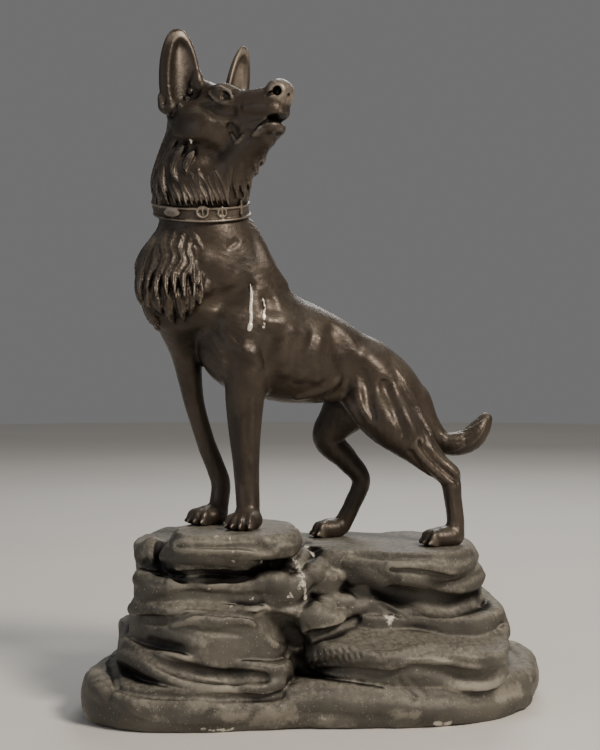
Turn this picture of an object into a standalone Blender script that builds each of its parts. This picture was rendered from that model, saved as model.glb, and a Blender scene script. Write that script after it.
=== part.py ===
"""A cast spelter sheepdog standing on a stepped rock base, in metres, +Z up.

The figure is one casting and the rock is another. Seen from -Y the dog faces left, with its head
turned back over its shoulder towards the viewer's right. The origin is the middle of the rock's
underside.
"""

from math import cos, pi, radians, sin

import bmesh
import bpy
from mathutils import Matrix, Vector
from mathutils.bvhtree import BVHTree

# Driving dimensions, in metres
FIGURE_HEIGHT = 0.396
FRONT_STAND_HEIGHT = 0.150
BASE_THICKNESS = 0.036
BASE_MARGIN_FRONT = 0.1004
BASE_MARGIN_REAR = 0.087
BASE_MARGIN_NEAR = 0.056
BASE_MARGIN_FAR = 0.097
PAW_MARGIN = 0.032
STAND_BEYOND = 0.014
REST_GAP = 0.0003

# Grain of the modelled surfaces, in metres
FIGURE_GRAIN = 0.0024
ROCK_GRAIN = 0.0032
FIGURE_TRIANGLES = 6600
ROCK_TRIANGLES = 2900

# Soles on the figure, in hundredths of its height from the front stand
NEAR_FORE_PAW = (-13.6, -15.6, 0.0)
FAR_FORE_PAW = (-21.3, -7.6, 0.0)
HIND_DROP = 4.2
NEAR_HIND_PAW = (26.7, -9.3, -HIND_DROP)
FAR_HIND_PAW = (3.8, 3.8, -HIND_DROP)

# Between the front stand's end and the ledge, in hundredths of the figure's height
LEVELS_PART_AT = -1.5

PERCENT = FIGURE_HEIGHT / 100.0
HIND_LEDGE_HEIGHT = FRONT_STAND_HEIGHT - HIND_DROP * PERCENT

COLLECTION = "spelter_dog_statue"
CUTTERS = "cutters"


# Scene helpers


def clear_scene():
    """Remove every object and collection that the scene starts with."""
    for item in list(bpy.data.objects):
        bpy.data.objects.remove(item, do_unlink=True)
    for group in list(bpy.data.collections):
        bpy.data.collections.remove(group)


def collection(name):
    """Return a collection in the scene, made on first use."""
    if name not in bpy.data.collections:
        group = bpy.data.collections.new(name)
        bpy.context.scene.collection.children.link(group)
    return bpy.data.collections[name]


def add_object(name, mesh, group=COLLECTION):
    """Put a mesh or curve into the scene as a named object."""
    item = bpy.data.objects.new(name, mesh)
    collection(group).objects.link(item)
    return item


def material(name, color, roughness, metallic):
    """Make a Principled material."""
    made = bpy.data.materials.new(name)
    made.use_nodes = True
    shader = made.node_tree.nodes["Principled BSDF"]
    shader.inputs["Base Color"].default_value = (*color, 1.0)
    shader.inputs["Roughness"].default_value = roughness
    shader.inputs["Metallic"].default_value = metallic
    return made


def evaluated_mesh(item):
    """Return an object's mesh with its modifiers, in world space, with loose caps welded."""
    bpy.context.view_layer.update()
    graph = bpy.context.evaluated_depsgraph_get()
    mesh = bpy.data.meshes.new_from_object(item.evaluated_get(graph))
    mesh.transform(item.matrix_world)
    form = bmesh.new()
    form.from_mesh(mesh)
    bmesh.ops.remove_doubles(form, verts=form.verts, dist=1e-6)
    form.to_mesh(mesh)
    form.free()
    return mesh


def gathered(name, items):
    """Gather objects into one object in world space and remove them."""
    form = bmesh.new()
    for item in items:
        form.from_mesh(evaluated_mesh(item))
        bpy.data.objects.remove(item, do_unlink=True)
    mesh = bpy.data.meshes.new(name)
    form.to_mesh(mesh)
    form.free()
    return add_object(name, mesh)


def fuse(item, grain, passes):
    """Fuse an object's overlapping shells into one skin and ease its creases."""
    remesh = item.modifiers.new("fuse", "REMESH")
    remesh.mode = "VOXEL"
    remesh.voxel_size = grain
    ease = item.modifiers.new("ease", "SMOOTH")
    ease.factor = 0.5
    ease.iterations = passes


def lighten(item, triangles):
    """Bring a fused object down to a number of triangles."""
    faces = len(evaluated_mesh(item).polygons)
    reduce = item.modifiers.new("lighten", "DECIMATE")
    reduce.ratio = min(1.0, triangles / (2.0 * faces))
    reduce.use_collapse_triangulate = True


def cut_box(item, name, low, high):
    """Cut an upright box, given by two corners, out of an object."""
    size = Vector(high) - Vector(low)
    bpy.ops.mesh.primitive_cube_add(size=1.0, location=Vector(low) + size / 2)
    cutter = bpy.context.object
    cutter.name = name
    cutter.data.transform(Matrix.Diagonal((*size, 1.0)))
    for owner in list(cutter.users_collection):
        owner.objects.unlink(cutter)
    collection(CUTTERS).objects.link(cutter)
    cutter.hide_render = True
    cutter.display_type = "WIRE"
    cut = item.modifiers.new(name, "BOOLEAN")
    cut.operation = "DIFFERENCE"
    cut.object = cutter
    cut.solver = "EXACT"


# Figure coordinates: hundredths of the figure's height, from the front stand


def place(spot):
    """Turn a place on the figure into world space."""
    rise = Vector((0, 0, FRONT_STAND_HEIGHT + REST_GAP))
    return Vector(spot) * PERCENT + rise


HEAD_ORIGIN = Vector((-22.9, -12.6, 86.1))
HEAD_TURN = radians(-38)
HEAD_LIFT = radians(-6)
HEAD_ROLL = radians(-6)
HEAD_FRAME = (
    Matrix.Rotation(HEAD_TURN, 3, "Z")
    @ Matrix.Rotation(HEAD_LIFT, 3, "Y")
    @ Matrix.Rotation(HEAD_ROLL, 3, "X")
)
MUZZLE_WAY = HEAD_FRAME @ Vector((1, 0, 0))
CROWN_WAY = HEAD_FRAME @ Vector((0, 0, 1))


def head(forward, left, up):
    """Turn a place on the head, along the muzzle, to its left and up, into a figure place."""
    return HEAD_ORIGIN + HEAD_FRAME @ Vector((forward, left, up))


# Masses of the figure


def flowing(stations, steps=5):
    """Read places and girths from a smooth curve through the given stations."""
    known = [(*spot, girth) for spot, girth in stations]
    first = [2 * a - b for a, b in zip(known[0], known[1])]
    last = [2 * a - b for a, b in zip(known[-1], known[-2])]
    row = [first, *known, last]
    flow = []
    for i in range(1, len(row) - 2):
        for step in range(steps):
            t = step / steps
            before, start, end, after = row[i - 1 : i + 3]
            flow.append(
                [
                    0.5
                    * (
                        2 * b
                        + (c - a) * t
                        + (2 * a - 5 * b + 4 * c - d) * t**2
                        + (3 * b - a - 3 * c + d) * t**3
                    )
                    for a, b, c, d in zip(before, start, end, after)
                ]
            )
    flow.append(row[-2])
    return flow


def limb(stations, name="limb", sides=3, steps=5):
    """Make a tapered limb through stations of (place, girth), with rounded ends."""
    flow = flowing(stations, steps)
    curve = bpy.data.curves.new(name, "CURVE")
    curve.dimensions = "3D"
    curve.bevel_depth = 1.0
    curve.bevel_resolution = sides
    curve.use_fill_caps = True
    spline = curve.splines.new("POLY")
    spline.points.add(len(flow) - 1)
    for point, (x, y, z, girth) in zip(spline.points, flow):
        point.co = (*place((x, y, z)), 1.0)
        point.radius = girth * PERCENT
    ends = [mass(end[:3], (end[3],) * 3) for end in (flow[0], flow[-1])]
    return [add_object(name, curve), *ends]


def mass(spot, radii, way=(1, 0, 0), crown=(0, 0, 1)):
    """Make an ellipsoid with its long axis along way and its third axis towards crown."""
    bpy.ops.mesh.primitive_uv_sphere_add(segments=24, ring_count=14, radius=1.0)
    ball = bpy.context.object
    along = Vector(way).normalized()
    across = Vector(crown).cross(along).normalized()
    turn = Matrix((along, across, along.cross(across))).transposed().to_4x4()
    size = Matrix.Diagonal((*(Vector(radii) * PERCENT), 1.0))
    ball.matrix_world = Matrix.Translation(place(spot)) @ turn @ size
    return ball


def narrowed(items, middle, way, share):
    """Narrow objects along one direction about a figure place."""
    centre = Matrix.Translation(place(middle))
    squeeze = Matrix.Scale(share, 4, Vector(way))
    for item in items:
        item.matrix_world = centre @ squeeze @ centre.inverted() @ item.matrix_world
    return items


def trunk():
    """Rump, loin, rib cage and chest, narrower than deep."""
    barrel = limb(
        [
            ((20.8, -0.3, 23.8), 3.6),
            ((16.7, -1.0, 27.5), 5.8),
            ((11.9, -2.0, 31.4), 6.3),
            ((6.6, -3.0, 33.0), 7.3),
            ((0.8, -4.3, 34.2), 9.5),
            ((-5.9, -6.1, 35.9), 11.0),
            ((-12.6, -8.3, 38.2), 11.2),
        ],
        "barrel",
        sides=6,
    )
    return narrowed(barrel, (-2.8, -5.1, 35.7), (-0.34, 0.94, 0), 0.82)


def neck():
    """Withers, shoulder base, neck and throat."""
    column = [
        ((-12.6, -8.3, 38.2), 10.2),
        ((-15.4, -9.6, 50.0), 8.4),
        ((-20.4, -10.6, 57.0), 9.0),
        ((-23.0, -11.1, 63.9), 8.5),
        ((-23.4, -11.6, 67.7), 8.7),
        ((-22.5, -12.1, 72.1), 8.7),
        ((-21.9, -13.1, 77.0), 8.0),
    ]
    throat = [
        (head(16.5, 0, -10.8), 2.5),
        ((-12.8, -21.4, 75.4), 3.4),
        ((-16.2, -17.6, 71.6), 4.4),
        ((-18.6, -14.8, 67.8), 5.4),
    ]
    return [*limb(column, "neck", sides=6), *limb(throat, "throat", sides=4)]


def chest():
    """Fore chest under the ruff, carried forward and to the near side."""
    ahead = (-0.8, -0.6, 0)
    return [
        mass((-28.0, -13.1, 52.0), (7.0, 7.9, 8.0), ahead),
        mass((-25.4, -12.6, 46.8), (8.2, 8.4, 7.8), ahead),
        *limb([((-32.0, -12.9, 49.5), 3.2), ((-30.4, -14.0, 46.0), 3.0), ((-27.6, -14.6, 42.8), 2.2)]),
    ]


def skull():
    """Skull, cheeks, brows, muzzle, jaw and nose."""
    items = [
        mass(head(1.0, 0, -3.8), (7.6, 6.4, 6.4), MUZZLE_WAY, CROWN_WAY),
        mass(head(20.7, 0, -2.8), (1.8, 2.0, 1.7), MUZZLE_WAY, CROWN_WAY),
        *limb([(head(9.0, 0, -5.1), 4.6), (head(14.6, 0, -4.8), 3.8), (head(19.0, 0, -4.6), 3.3)]),
        *limb([(head(7.6, 0, -9.6), 3.6), (head(14.6, 0, -8.8), 2.8), (head(18.7, 0, -8.1), 2.3)]),
    ]
    for side in (-1, 1):
        items.append(mass(head(3.5, side * 3.5, -7.8), (6.1, 3.6, 4.8), MUZZLE_WAY, CROWN_WAY))
        items.append(mass(head(7.8, side * 2.5, -0.8), (2.4, 1.7, 1.5), MUZZLE_WAY, CROWN_WAY))
        items += limb([(head(9.6, side * 3.5, -4.3), 1.5), (head(1.0, side * 5.6, -4.8), 1.8)])
    return items


EAR_HALF_WIDTH = 4.2
EAR_CUP = 1.9
EAR_WALL = 1.5


def ear(base, tip, facing, half_width=EAR_HALF_WIDTH, rows=12, columns=8):
    """Make a cupped leaf from base to tip, hollow on the side that it faces."""
    root = Vector(base)
    rise = Vector(tip) - root
    axis = rise.normalized()
    front = (Vector(facing) - axis * axis.dot(Vector(facing))).normalized()
    across = axis.cross(front)
    form = bmesh.new()
    grid = []
    for i in range(rows + 1):
        share = i / rows
        width = half_width * max(0.08, 1 - ((share - 0.22) / 0.8) ** 2) ** 0.5
        cup = EAR_CUP * (1 - 0.7 * share)
        line = []
        for j in range(columns + 1):
            s = 2 * j / columns - 1
            spot = root + rise * share + across * (s * width) + front * (cup * (s * s - 0.6))
            line.append(form.verts.new(place(spot)))
        grid.append(line)
    for low, high in zip(grid[:-1], grid[1:]):
        for j in range(columns):
            form.faces.new((low[j], low[j + 1], high[j + 1], high[j]))
    mesh = bpy.data.meshes.new("ear")
    form.to_mesh(mesh)
    form.free()
    leaf = add_object("ear", mesh)
    wall = leaf.modifiers.new("wall", "SOLIDIFY")
    wall.thickness = EAR_WALL * PERCENT
    wall.offset = 0.0
    return leaf


def ears():
    """Both upright ears: the near one shows its cup, the far one shows its edge."""
    near_facing = HEAD_FRAME @ Vector((0.78, -0.62, 0))
    far_facing = HEAD_FRAME @ Vector((0.93, 0.12, 0))
    near = ear(head(0.4, -5.8, -2.2), head(1.0, -7.6, 12.4), near_facing)
    far = ear(head(4.2, 6.0, -2.4), head(5.8, 7.6, 11.6), far_facing, EAR_HALF_WIDTH * 0.9)
    burrs = [
        mass(head(0.9, -7.4, -3.2), (2.2, 1.9, 2.6), MUZZLE_WAY, CROWN_WAY),
        mass(head(3.4, 6.4, -3.0), (2.2, 1.9, 2.4), MUZZLE_WAY, CROWN_WAY),
    ]
    return [near, far, *burrs]


TOES = 4
TOE_FAN = radians(46)


def paw(sole, length, width, way):
    """Make a paw above its sole: a low pad with a fan of toes."""
    ahead = Vector((*way, 0)).normalized()
    ground = Vector(sole)
    items = [mass(ground + Vector((0, 0, 1.6)), (length * 0.86, width * 0.92, 2.3), ahead)]
    for k in range(TOES):
        angle = TOE_FAN * (k / (TOES - 1) - 0.5)
        middle = 1 - abs(2 * k / (TOES - 1) - 1)
        turned = Matrix.Rotation(angle, 3, "Z") @ ahead
        beside = Matrix.Rotation(pi / 2, 3, "Z") @ ahead
        spread = width * 0.66 * (k / (TOES - 1) - 0.5) * 2
        spot = ground + ahead * (length * (0.5 + 0.16 * middle)) + beside * spread * 0.8
        toe = mass(spot + Vector((0, 0, 1.35)), (length * 0.42, width * 0.28, 1.9), turned)
        items.append(toe)
    return items


def fore_legs():
    """Straight near fore leg, and the far one reaching forward and inward."""
    near = [
        ((-15.8, -14.6, 41.0), 4.2),
        ((-13.6, -14.2, 31.6), 4.5),
        ((-13.9, -13.6, 25.7), 3.9),
        ((-13.9, -13.4, 19.7), 3.3),
        ((-13.7, -13.1, 13.6), 2.75),
        ((-13.5, -13.1, 9.1), 2.5),
        ((-13.3, -13.6, 4.6), 2.4),
        ((-13.4, -14.4, 2.2), 2.3),
    ]
    far = [
        ((-27.2, -10.6, 42.3), 5.0),
        ((-26.2, -7.6, 35.7), 3.3),
        ((-25.5, -6.1, 29.9), 2.5),
        ((-24.7, -5.6, 25.0), 2.1),
        ((-23.7, -5.3, 21.2), 1.95),
        ((-22.1, -5.1, 16.0), 1.9),
        ((-20.2, -5.1, 11.2), 1.95),
        ((-19.2, -5.1, 7.7), 2.0),
        ((-19.6, -5.9, 3.4), 2.0),
    ]
    blade = mass((-14.4, -13.6, 43.0), (8.6, 4.6, 3.6), (0.32, 0.42, 1.4), (0, -1, 0))
    return [
        blade,
        *limb(near, "near_fore_leg", sides=4),
        *limb(far, "far_fore_leg", sides=4),
        *paw(NEAR_FORE_PAW, 4.5, 3.5, (-0.4, -0.9)),
        *paw(FAR_FORE_PAW, 4.6, 3.4, (-0.75, -0.65)),
    ]


def hind_legs():
    """Braced near hind leg, and the far one drawn forward under the belly."""
    near = [
        ((10.6, -5.6, 24.3), 4.0),
        ((15.8, -7.0, 20.7), 5.0),
        ((20.7, -7.6, 15.9), 3.4),
        ((24.8, -7.8, 12.0), 2.4),
        ((27.9, -7.8, 9.4), 2.15),
        ((28.7, -8.1, 4.9), 1.8),
        ((29.2, -8.1, 0.8), 1.8),
        ((29.0, -8.5, -2.2), 2.0),
    ]
    tendon = [((20.8, -5.6, 21.2), 2.2), ((23.4, -6.8, 17.2), 1.5), ((26.2, -7.6, 13.3), 1.2), ((28.6, -7.8, 10.4), 1.5)]
    far = [
        ((6.8, 3.5, 22.6), 4.5),
        ((3.2, 4.3, 17.0), 3.3),
        ((7.1, 4.8, 12.3), 2.5),
        ((10.3, 5.1, 7.8), 2.0),
        ((8.4, 5.1, 2.4), 1.8),
        ((6.3, 4.8, -1.7), 1.9),
    ]
    near_thigh = mass((14.2, -4.8, 25.8), (9.6, 3.9, 7.0), (7.3, -2.1, -14.4), (0.85, 0.1, -0.5))
    far_thigh = mass((8.6, 2.3, 24.8), (7.6, 5.4, 3.6), (-9.5, 2.5, -12.0), (0, -1, 0))
    return [
        near_thigh,
        far_thigh,
        *limb(near, "near_hind_leg", sides=4),
        *limb(tendon, "near_tendon"),
        *limb(far, "far_hind_leg", sides=4),
        *paw(NEAR_HIND_PAW, 4.6, 2.9, (-0.94, -0.34)),
        *paw(FAR_HIND_PAW, 4.0, 2.6, (-0.94, -0.34)),
    ]


def tail():
    """Bushy tail, carried down and curled up at its end."""
    return limb(
        [
            ((21.4, 0.0, 24.8), 3.4),
            ((24.3, 0.5, 19.4), 2.7),
            ((27.0, 0.8, 16.4), 2.4),
            ((30.2, 1.0, 15.8), 2.5),
            ((33.2, 1.3, 16.8), 2.6),
            ((35.3, 1.5, 18.9), 2.2),
            ((36.6, 1.8, 21.0), 1.4),
        ],
        "tail",
        sides=4,
    )


# Coat and collar, laid on the fused body


def outer_point(skin, spot, way):
    """Return the point where the skin is met from outside, looking back along way."""
    ahead = Vector(way).normalized()
    start = place(spot) + ahead * FIGURE_HEIGHT
    return skin.ray_cast(start, -ahead)[0]


def lock(skin, spot, way, length, girth, sway):
    """Lay one lock of hair down the skin from where way meets it, with a slight wave."""
    point = outer_point(skin, spot, way)
    if point is None:
        return []
    side = Vector(way).cross(Vector((0, 0, 1))).normalized()
    steps = 6
    row = []
    for k in range(steps + 1):
        share = k / steps
        near, normal, _, _ = skin.find_nearest(point)
        lift = near + normal * girth * PERCENT * (0.1 - 0.5 * share)
        row.append((lift, girth * (0.55 + 0.9 * share) * (1 - share**3) + 0.1 * girth))
        fall = Vector((0, 0, -1)) + side * sway * sin(pi * 1.6 * share)
        point = near + fall.normalized() * (length * PERCENT / steps)
    curve = bpy.data.curves.new("lock", "CURVE")
    curve.dimensions = "3D"
    curve.bevel_depth = 1.0
    curve.bevel_resolution = 1
    curve.use_fill_caps = True
    spline = curve.splines.new("POLY")
    spline.points.add(len(row) - 1)
    for knot, (spot_on, radius) in zip(spline.points, row):
        knot.co = (*spot_on, 1.0)
        knot.radius = radius * PERCENT
    return [add_object("lock", curve)]


LOCK_ROWS = (
    # height of the row, places on the neck's line, first and last bearing, locks, length, girth
    (72.5, (-22.5, -12.2), 150, 330, 11, 6.0, 0.95),
    (67.2, (-23.2, -11.4), 95, 350, 15, 4.2, 0.85),
    (59.5, (-21.0, -10.8), 150, 262, 7, 6.5, 1.0),
    (55.0, (-20.5, -10.6), 145, 268, 8, 7.0, 1.15),
    (50.5, (-20.5, -10.6), 148, 262, 7, 7.5, 1.15),
    (46.5, (-20.5, -10.6), 150, 258, 6, 6.0, 1.05),
)


def coat(skin):
    """Rows of locks on the neck, above the collar and down the ruff."""
    items = []
    for row, (height, (x, y), first, last, count, length, girth) in enumerate(LOCK_ROWS):
        for k in range(count):
            bearing = radians(first + (last - first) * (k + 0.5 * (row % 2)) / count)
            sway = 0.35 * sin(2.4 * k + 1.7 * row)
            way = (cos(bearing), sin(bearing), 0.0)
            reach = length * (1 + 0.18 * sin(3.1 * k + row))
            items += lock(skin, (x, y, height), way, reach, girth, sway)
    return items


COLLAR_MIDDLE = Vector((-23.0, -11.3, 63.9))
COLLAR_TILT = radians(14)
COLLAR_HALF_WIDTH = 1.15
COLLAR_POINTS = 36
BUCKLE_BEARING = radians(276)
BUCKLE_RADIUS = 1.5


def collar(skin):
    """Band around the neck that follows its girth, with a round buckle on the near side."""
    lean = Matrix.Rotation(COLLAR_TILT, 3, "X")
    curve = bpy.data.curves.new("collar", "CURVE")
    curve.dimensions = "3D"
    curve.bevel_depth = COLLAR_HALF_WIDTH * PERCENT
    curve.bevel_resolution = 1
    spline = curve.splines.new("POLY")
    spline.points.add(COLLAR_POINTS - 1)
    spline.use_cyclic_u = True
    for k, knot in enumerate(spline.points):
        bearing = 2 * pi * k / COLLAR_POINTS
        way = lean @ Vector((cos(bearing), sin(bearing), 0))
        knot.co = (*outer_point(skin, COLLAR_MIDDLE, way), 1.0)
    band = add_object("collar", curve)
    way = lean @ Vector((cos(BUCKLE_BEARING), sin(BUCKLE_BEARING), 0))
    bpy.ops.mesh.primitive_torus_add(
        major_radius=BUCKLE_RADIUS * PERCENT,
        minor_radius=0.45 * PERCENT,
        major_segments=20,
        minor_segments=8,
        location=outer_point(skin, COLLAR_MIDDLE, way) + way * 0.9 * PERCENT,
        rotation=way.to_track_quat("Z", "Y").to_euler(),
    )
    return [band, bpy.context.object]


def make_dog():
    """The whole casting of the dog, with flat soles above the stand and the ledge."""
    masses = [*trunk(), *neck(), *chest(), *skull(), *ears()]
    masses += [*fore_legs(), *hind_legs(), *tail()]
    body = gathered("dog", masses)
    fuse(body, FIGURE_GRAIN, 8)
    skin_mesh = evaluated_mesh(body)
    skin_form = bmesh.new()
    skin_form.from_mesh(skin_mesh)
    skin = BVHTree.FromBMesh(skin_form)
    dressing = [*coat(skin), *collar(skin)]
    skin_form.free()
    dog = gathered("dog", [body, *dressing])
    fuse(dog, FIGURE_GRAIN, 2)
    lighten(dog, FIGURE_TRIANGLES)
    fore = place((0, 0, 0)).z
    hind = place((0, 0, -HIND_DROP)).z
    split = place((LEVELS_PART_AT, 0, 0)).x
    reach = FIGURE_HEIGHT
    cut_box(dog, "fore_soles", (-reach, -reach, 0), (split, reach, fore))
    cut_box(dog, "hind_soles", (split, -reach, 0), (reach, reach, hind))
    dog.data.materials.append(material("brown_patinated_spelter", (0.12, 0.098, 0.075), 0.46, 0.35))
    return dog


# Rock base

FORE_PAWS = [place(spot) for spot in (NEAR_FORE_PAW, FAR_FORE_PAW)]
HIND_PAWS = [place(spot) for spot in (NEAR_HIND_PAW, FAR_HIND_PAW)]
PAWS = [*FORE_PAWS, *HIND_PAWS]
ROCK_LEFT = min(paw_at.x for paw_at in PAWS) - BASE_MARGIN_FRONT
ROCK_RIGHT = max(paw_at.x for paw_at in PAWS) + BASE_MARGIN_REAR
ROCK_NEAR = min(paw_at.y for paw_at in PAWS) - BASE_MARGIN_NEAR
ROCK_FAR = max(paw_at.y for paw_at in PAWS) + BASE_MARGIN_FAR
ROCK_WIDTH = ROCK_RIGHT - ROCK_LEFT
ROCK_DEPTH = ROCK_FAR - ROCK_NEAR
ROCK_MIDDLE = Vector(((ROCK_LEFT + ROCK_RIGHT) / 2, (ROCK_NEAR + ROCK_FAR) / 2, 0))
SLAB_POINTS = 26
SLAB_SQUARENESS = 2.7


def slab_outline(half_sizes, seed):
    """Walk round a slab's outline: a rounded square with waves in it, brought to its half sizes."""
    walk = []
    for k in range(SLAB_POINTS):
        angle = 2 * pi * k / SLAB_POINTS
        c, s = cos(angle), sin(angle)
        square = (abs(c) ** SLAB_SQUARENESS + abs(s) ** SLAB_SQUARENESS) ** (-1 / SLAB_SQUARENESS)
        wave = 0.05 * sin(2 * angle + seed) + 0.04 * sin(3 * angle + 2.3 * seed)
        wave += 0.03 * sin(5 * angle + 3.1 * seed) + 0.02 * sin(7 * angle + 4.7 * seed)
        walk.append((square * (1 + wave) * c, square * (1 + wave) * s))
    columns = []
    for axis, half in enumerate(half_sizes):
        row = [point[axis] for point in walk]
        low, high = min(row), max(row)
        columns.append([half * (2 * (value - low) / (high - low) - 1) for value in row])
    return list(zip(*columns))


def slab(name, middle, half_sizes, top, thickness, turn=0, dip=0, fall=0, seed=0.0):
    """Make an irregular slab from its top's height, turned, dipping to the near side and falling
    to the right, all in metres and degrees."""
    edge = min(thickness * 0.3, 0.008)
    curve = bpy.data.curves.new(name, "CURVE")
    curve.dimensions = "2D"
    curve.fill_mode = "BOTH"
    curve.extrude = thickness / 2 - edge
    curve.bevel_depth = edge
    curve.bevel_resolution = 1
    spline = curve.splines.new("POLY")
    spline.points.add(SLAB_POINTS - 1)
    spline.use_cyclic_u = True
    inner = [half - edge for half in half_sizes]
    for knot, (x, y) in zip(spline.points, slab_outline(inner, seed)):
        knot.co = (x, y, 0, 1)
    item = add_object(name, curve)
    turning = Matrix.Rotation(radians(turn), 4, "Z")
    leaning = Matrix.Rotation(radians(dip), 4, "X") @ Matrix.Rotation(radians(fall), 4, "Y")
    lower = Matrix.Translation((middle[0], middle[1], top - thickness / 2))
    item.matrix_world = lower @ leaning @ turning
    return item


def rock_slab(name, spot, half_sizes, top, thickness, **tilt):
    """Make a slab from shares: plan in hundredths of the rock's width and depth, heights in
    hundredths of the front stand's height."""
    middle = ROCK_MIDDLE + Vector((spot[0] * ROCK_WIDTH, spot[1] * ROCK_DEPTH, 0)) / 100
    sizes = (half_sizes[0] * ROCK_WIDTH / 100, half_sizes[1] * ROCK_DEPTH / 100)
    rise = FRONT_STAND_HEIGHT / 100
    return slab(name, middle, sizes, top * rise, thickness * rise, **tilt)


ROCK_SLABS = (
    # name, place, half sizes, top, thickness, turn, dip, fall, seed
    ("near_right_slope", (19, -12), (22, 34), 54, 20, -6, 18, 4, 1.2),
    ("right_shoulder", (18, 4), (22, 36), 55, 55, 8, 0, 0, 2.1),
    ("under_ledge", (17.5, 2), (18.5, 29), 79, 26, -4, 0, 2, 3.4),
    ("under_stand", (-20.5, -4), (12.5, 33), 92.5, 14, 4, 0, 0, 0.7),
    ("left_block", (-32, 2), (7.5, 23), 92, 24, -8, 0, -5, 5.1),
    ("left_third", (-20.5, -2), (19.5, 36.5), 77, 20, 3, 0, 0, 4.2),
    ("left_boulder", (-22, -4), (19.5, 42), 61, 34, -5, 0, 0, 2.8),
    ("left_foot", (-24.5, -7), (19, 42), 40, 17, 6, 2, 5, 1.9),
    ("middle_leaf", (-2, -3), (12.5, 26), 85, 15, -24, 4, 20, 3.9),
    ("middle_wedge", (2.5, -10), (12, 28), 62, 18, -30, 10, 24, 0.4),
    ("rock_core", (-1, 5), (37, 38), 64, 64, 0, 0, 0, 5.9),
)


def stand(name, paws, height, thickness, beyond, seed):
    """Make the slab that a pair of paws stands on: a margin wider than their soles, and wider
    still at its right end."""
    middle = (paws[0] + paws[1]) / 2 + Vector((beyond / 2, 0, 0))
    spread = paws[0] - paws[1]
    half_sizes = ((abs(spread.x) + beyond) / 2 + PAW_MARGIN, abs(spread.y) / 2 + PAW_MARGIN * 1.45)
    return slab(name, middle, half_sizes, height, thickness, seed=seed)


def make_rock():
    """The whole casting of the rock, flat below and flat where the paws stand."""
    base_sizes = (ROCK_WIDTH / 2, ROCK_DEPTH / 2)
    spare = 0.004
    slabs = [slab("base_slab", ROCK_MIDDLE, base_sizes, BASE_THICKNESS, BASE_THICKNESS + spare, seed=6.2)]
    for name, spot, half_sizes, top, thickness, turn, dip, fall, seed in ROCK_SLABS:
        slabs.append(
            rock_slab(name, spot, half_sizes, top, thickness, turn=turn, dip=dip, fall=fall, seed=seed)
        )
    rise = FRONT_STAND_HEIGHT / 100
    slabs.append(
        stand("front_stand", FORE_PAWS, FRONT_STAND_HEIGHT + spare, 15 * rise, STAND_BEYOND, 1.1)
    )
    slabs.append(stand("hind_ledge", HIND_PAWS, HIND_LEDGE_HEIGHT + spare, 19 * rise, 0, 2.6))
    rock = gathered("rock_base", slabs)
    fuse(rock, ROCK_GRAIN, 3)
    lighten(rock, ROCK_TRIANGLES)
    reach = ROCK_WIDTH
    split = place((LEVELS_PART_AT, 0, 0)).x
    cut_box(rock, "underside", (-reach, -reach, -reach), (reach, reach, 0))
    cut_box(rock, "front_top", (-reach, -reach, FRONT_STAND_HEIGHT), (split, reach, reach))
    cut_box(rock, "hind_top", (split, -reach, HIND_LEDGE_HEIGHT), (reach, reach, reach))
    rock.data.materials.append(material("grey_patinated_spelter", (0.15, 0.14, 0.115), 0.62, 0.2))
    return rock


def centre_on(base):
    """Move everything so that the origin is the middle of the base's underside."""
    corners = [vertex.co for vertex in evaluated_mesh(base).vertices]
    across = [(min(c[axis] for c in corners) + max(c[axis] for c in corners)) / 2 for axis in (0, 1)]
    for item in bpy.data.objects:
        item.matrix_world = Matrix.Translation((-across[0], -across[1], 0)) @ item.matrix_world


def main():
    """Model both castings about the middle of the underside."""
    clear_scene()
    rock = make_rock()
    make_dog()
    centre_on(rock)


main()
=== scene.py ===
"""The looks of a cast spelter sheepdog on a stepped rock base.

The figure and the rock are each one casting. Both are modelled as a field: a function of place
that is below zero in the metal and above it in the air, worked out for whole arrays of places.
A net of quads is drawn over the places where the field is zero.

Lengths in the fields are in parts, each a hundredth of the figure's height above the front stand,
about 4 mm, and are measured from there. Only the rock's slabs are given in metres.
"""

from __future__ import annotations

import copy
import logging
from dataclasses import dataclass, field
from enum import Enum
from typing import Callable, Sequence

import bpy
import numpy as np
from mathutils import Matrix, Vector


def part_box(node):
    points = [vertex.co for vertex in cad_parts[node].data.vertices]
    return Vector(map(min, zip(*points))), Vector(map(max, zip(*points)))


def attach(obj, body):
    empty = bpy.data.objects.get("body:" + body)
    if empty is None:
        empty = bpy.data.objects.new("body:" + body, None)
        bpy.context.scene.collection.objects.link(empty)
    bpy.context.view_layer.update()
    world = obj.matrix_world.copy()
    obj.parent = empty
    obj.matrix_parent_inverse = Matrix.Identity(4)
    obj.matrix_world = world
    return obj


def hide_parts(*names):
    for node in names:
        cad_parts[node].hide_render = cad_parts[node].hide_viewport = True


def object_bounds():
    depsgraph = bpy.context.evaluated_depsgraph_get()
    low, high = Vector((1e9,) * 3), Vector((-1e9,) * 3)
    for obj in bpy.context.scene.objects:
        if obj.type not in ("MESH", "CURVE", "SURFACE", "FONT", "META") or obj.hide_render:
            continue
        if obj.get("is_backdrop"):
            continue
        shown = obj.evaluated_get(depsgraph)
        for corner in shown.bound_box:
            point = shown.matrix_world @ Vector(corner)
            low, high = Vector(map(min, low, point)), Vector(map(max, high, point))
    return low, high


LOG = logging.getLogger("spelter_dog")
Array = np.ndarray
Spot = Sequence[float]
Trio = tuple[float, float, float]
Measure = Callable[[Array], Array]
BATCH = 60_000
FAR_OFF = 1e3

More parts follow.
